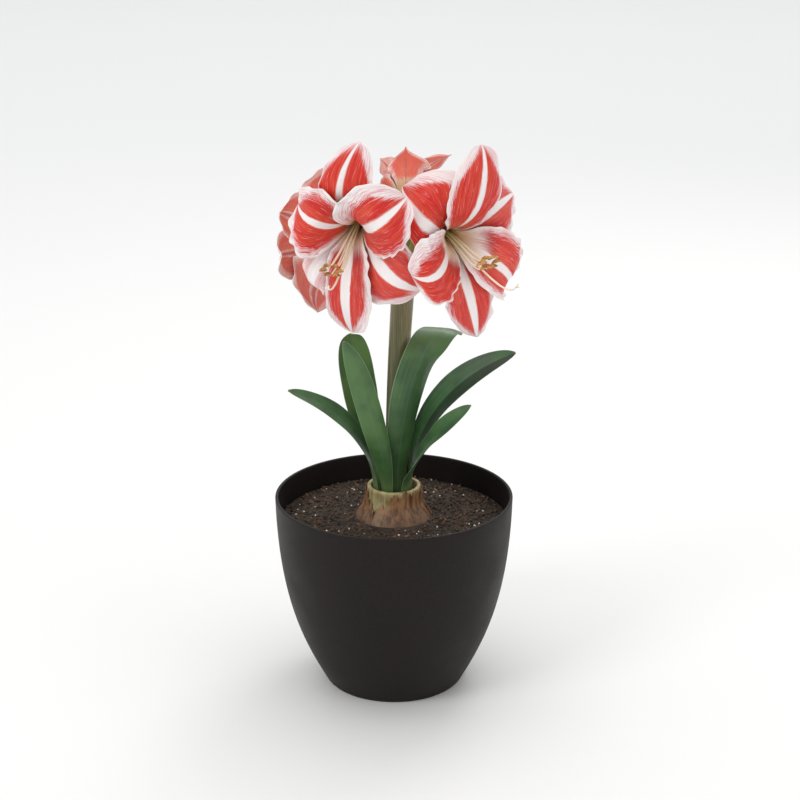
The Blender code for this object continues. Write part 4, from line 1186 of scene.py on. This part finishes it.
soilBody, soilEdge, soilMouth = soilPart()
soil = joinParts("soilFill", [soilBody], [soilFinish()])
dress(soil, "soil", "soil")
crumbs = crumbTree()
for name, count, sizes, stretch, seed, *finish in soilShape["loose"]:
    strip, area = surfaceStrip(soilEdge, soilMouth)
    values = {"Count": count / area, "Smallest": sizes[0] * mm, "Largest": sizes[1] * mm,
              "Stretch": stretch, "Seed": seed, "Finish": bitFinish(*finish)}
    dress(grow(name, strip, crumbs, values), "soil")
print("soil done")


# Floor, light and camera

studio = dict(
    floor=40.0, floorTone=(0.78, 0.78, 0.775),
    sky=(0.98, 0.99, 1.0), skyStrength=0.70,
    cameraPlace=(0.0054, -1.488, 0.763), cameraTilt=71.5, focal=1778 * 36 / 800,
    lamps=[  # place, aim, size, power, colour
        ((0.0, 4.0, 7.0), (0, 4.0, 0), 10.0, 340.0, (1.0, 1.0, 1.0)),
        ((-1.5, -1.3, 1.7), (0, 0, 0.30), 0.9, 17.0, (1.0, 0.98, 0.95)),
        ((1.6, -0.9, 1.0), (0, 0, 0.35), 1.2, 5.0, (1.0, 0.97, 0.93)),
        ((0.7, 1.3, 1.6), (0, 0, 0.35), 0.8, 7.0, (1.0, 0.98, 0.94)),
    ],
)


def setStudio():
    look = studio
    half = look["floor"] / 2
    corners = [(-half, -half, 0), (half, -half, 0), (half, half, 0), (-half, half, 0)]
    mesh = meshOf("floor", corners, faces=[(0, 1, 2, 3)])
    finish, shader = startFinish("paleFloor", 0.75)
    pale = look["floorTone"]
    mottle = tint(grain(objectPlace(), 3.0, 3.0), tuple(c * 0.99 for c in pale), pale)
    draft.links.new(mottle.socket, shader.inputs["Base Color"])
    mesh.materials.append(finish)
    addObject("floor", mesh)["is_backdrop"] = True
    world = bpy.data.worlds.new("sky")
    world.use_nodes = True
    background = world.node_tree.nodes["Background"]
    background.inputs["Color"].default_value = (*look["sky"], 1)
    background.inputs["Strength"].default_value = look["skyStrength"]
    bpy.context.scene.world = world
    for k, (place, aim, size, power, colour) in enumerate(look["lamps"]):
        lamp = bpy.data.lights.new("lamp%d" % k, "AREA")
        lamp.size = size
        lamp.energy = power
        lamp.color = colour
        holder = bpy.data.objects.new(lamp.name, lamp)
        holder.location = place
        holder.rotation_euler = (Vector(aim) - Vector(place)).to_track_quat("-Z", "Y").to_euler()
        bpy.context.scene.collection.objects.link(holder)
    view = bpy.data.cameras.new("camera")
    view.sensor_width = 36
    view.lens = look["focal"]
    eye = bpy.data.objects.new("camera", view)
    eye.location = look["cameraPlace"]
    eye.rotation_euler = (math.radians(look["cameraTilt"]), 0, 0)
    bpy.context.scene.collection.objects.link(eye)
    bpy.context.scene.camera = eye
    bpy.context.scene.view_settings.view_transform = "Standard"


setStudio()
print("studio done")

sizes = {"cad": [[float(c) for c in corner] for corner in cadBox],
         "visual": [[float(c) for c in corner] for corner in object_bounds()]}
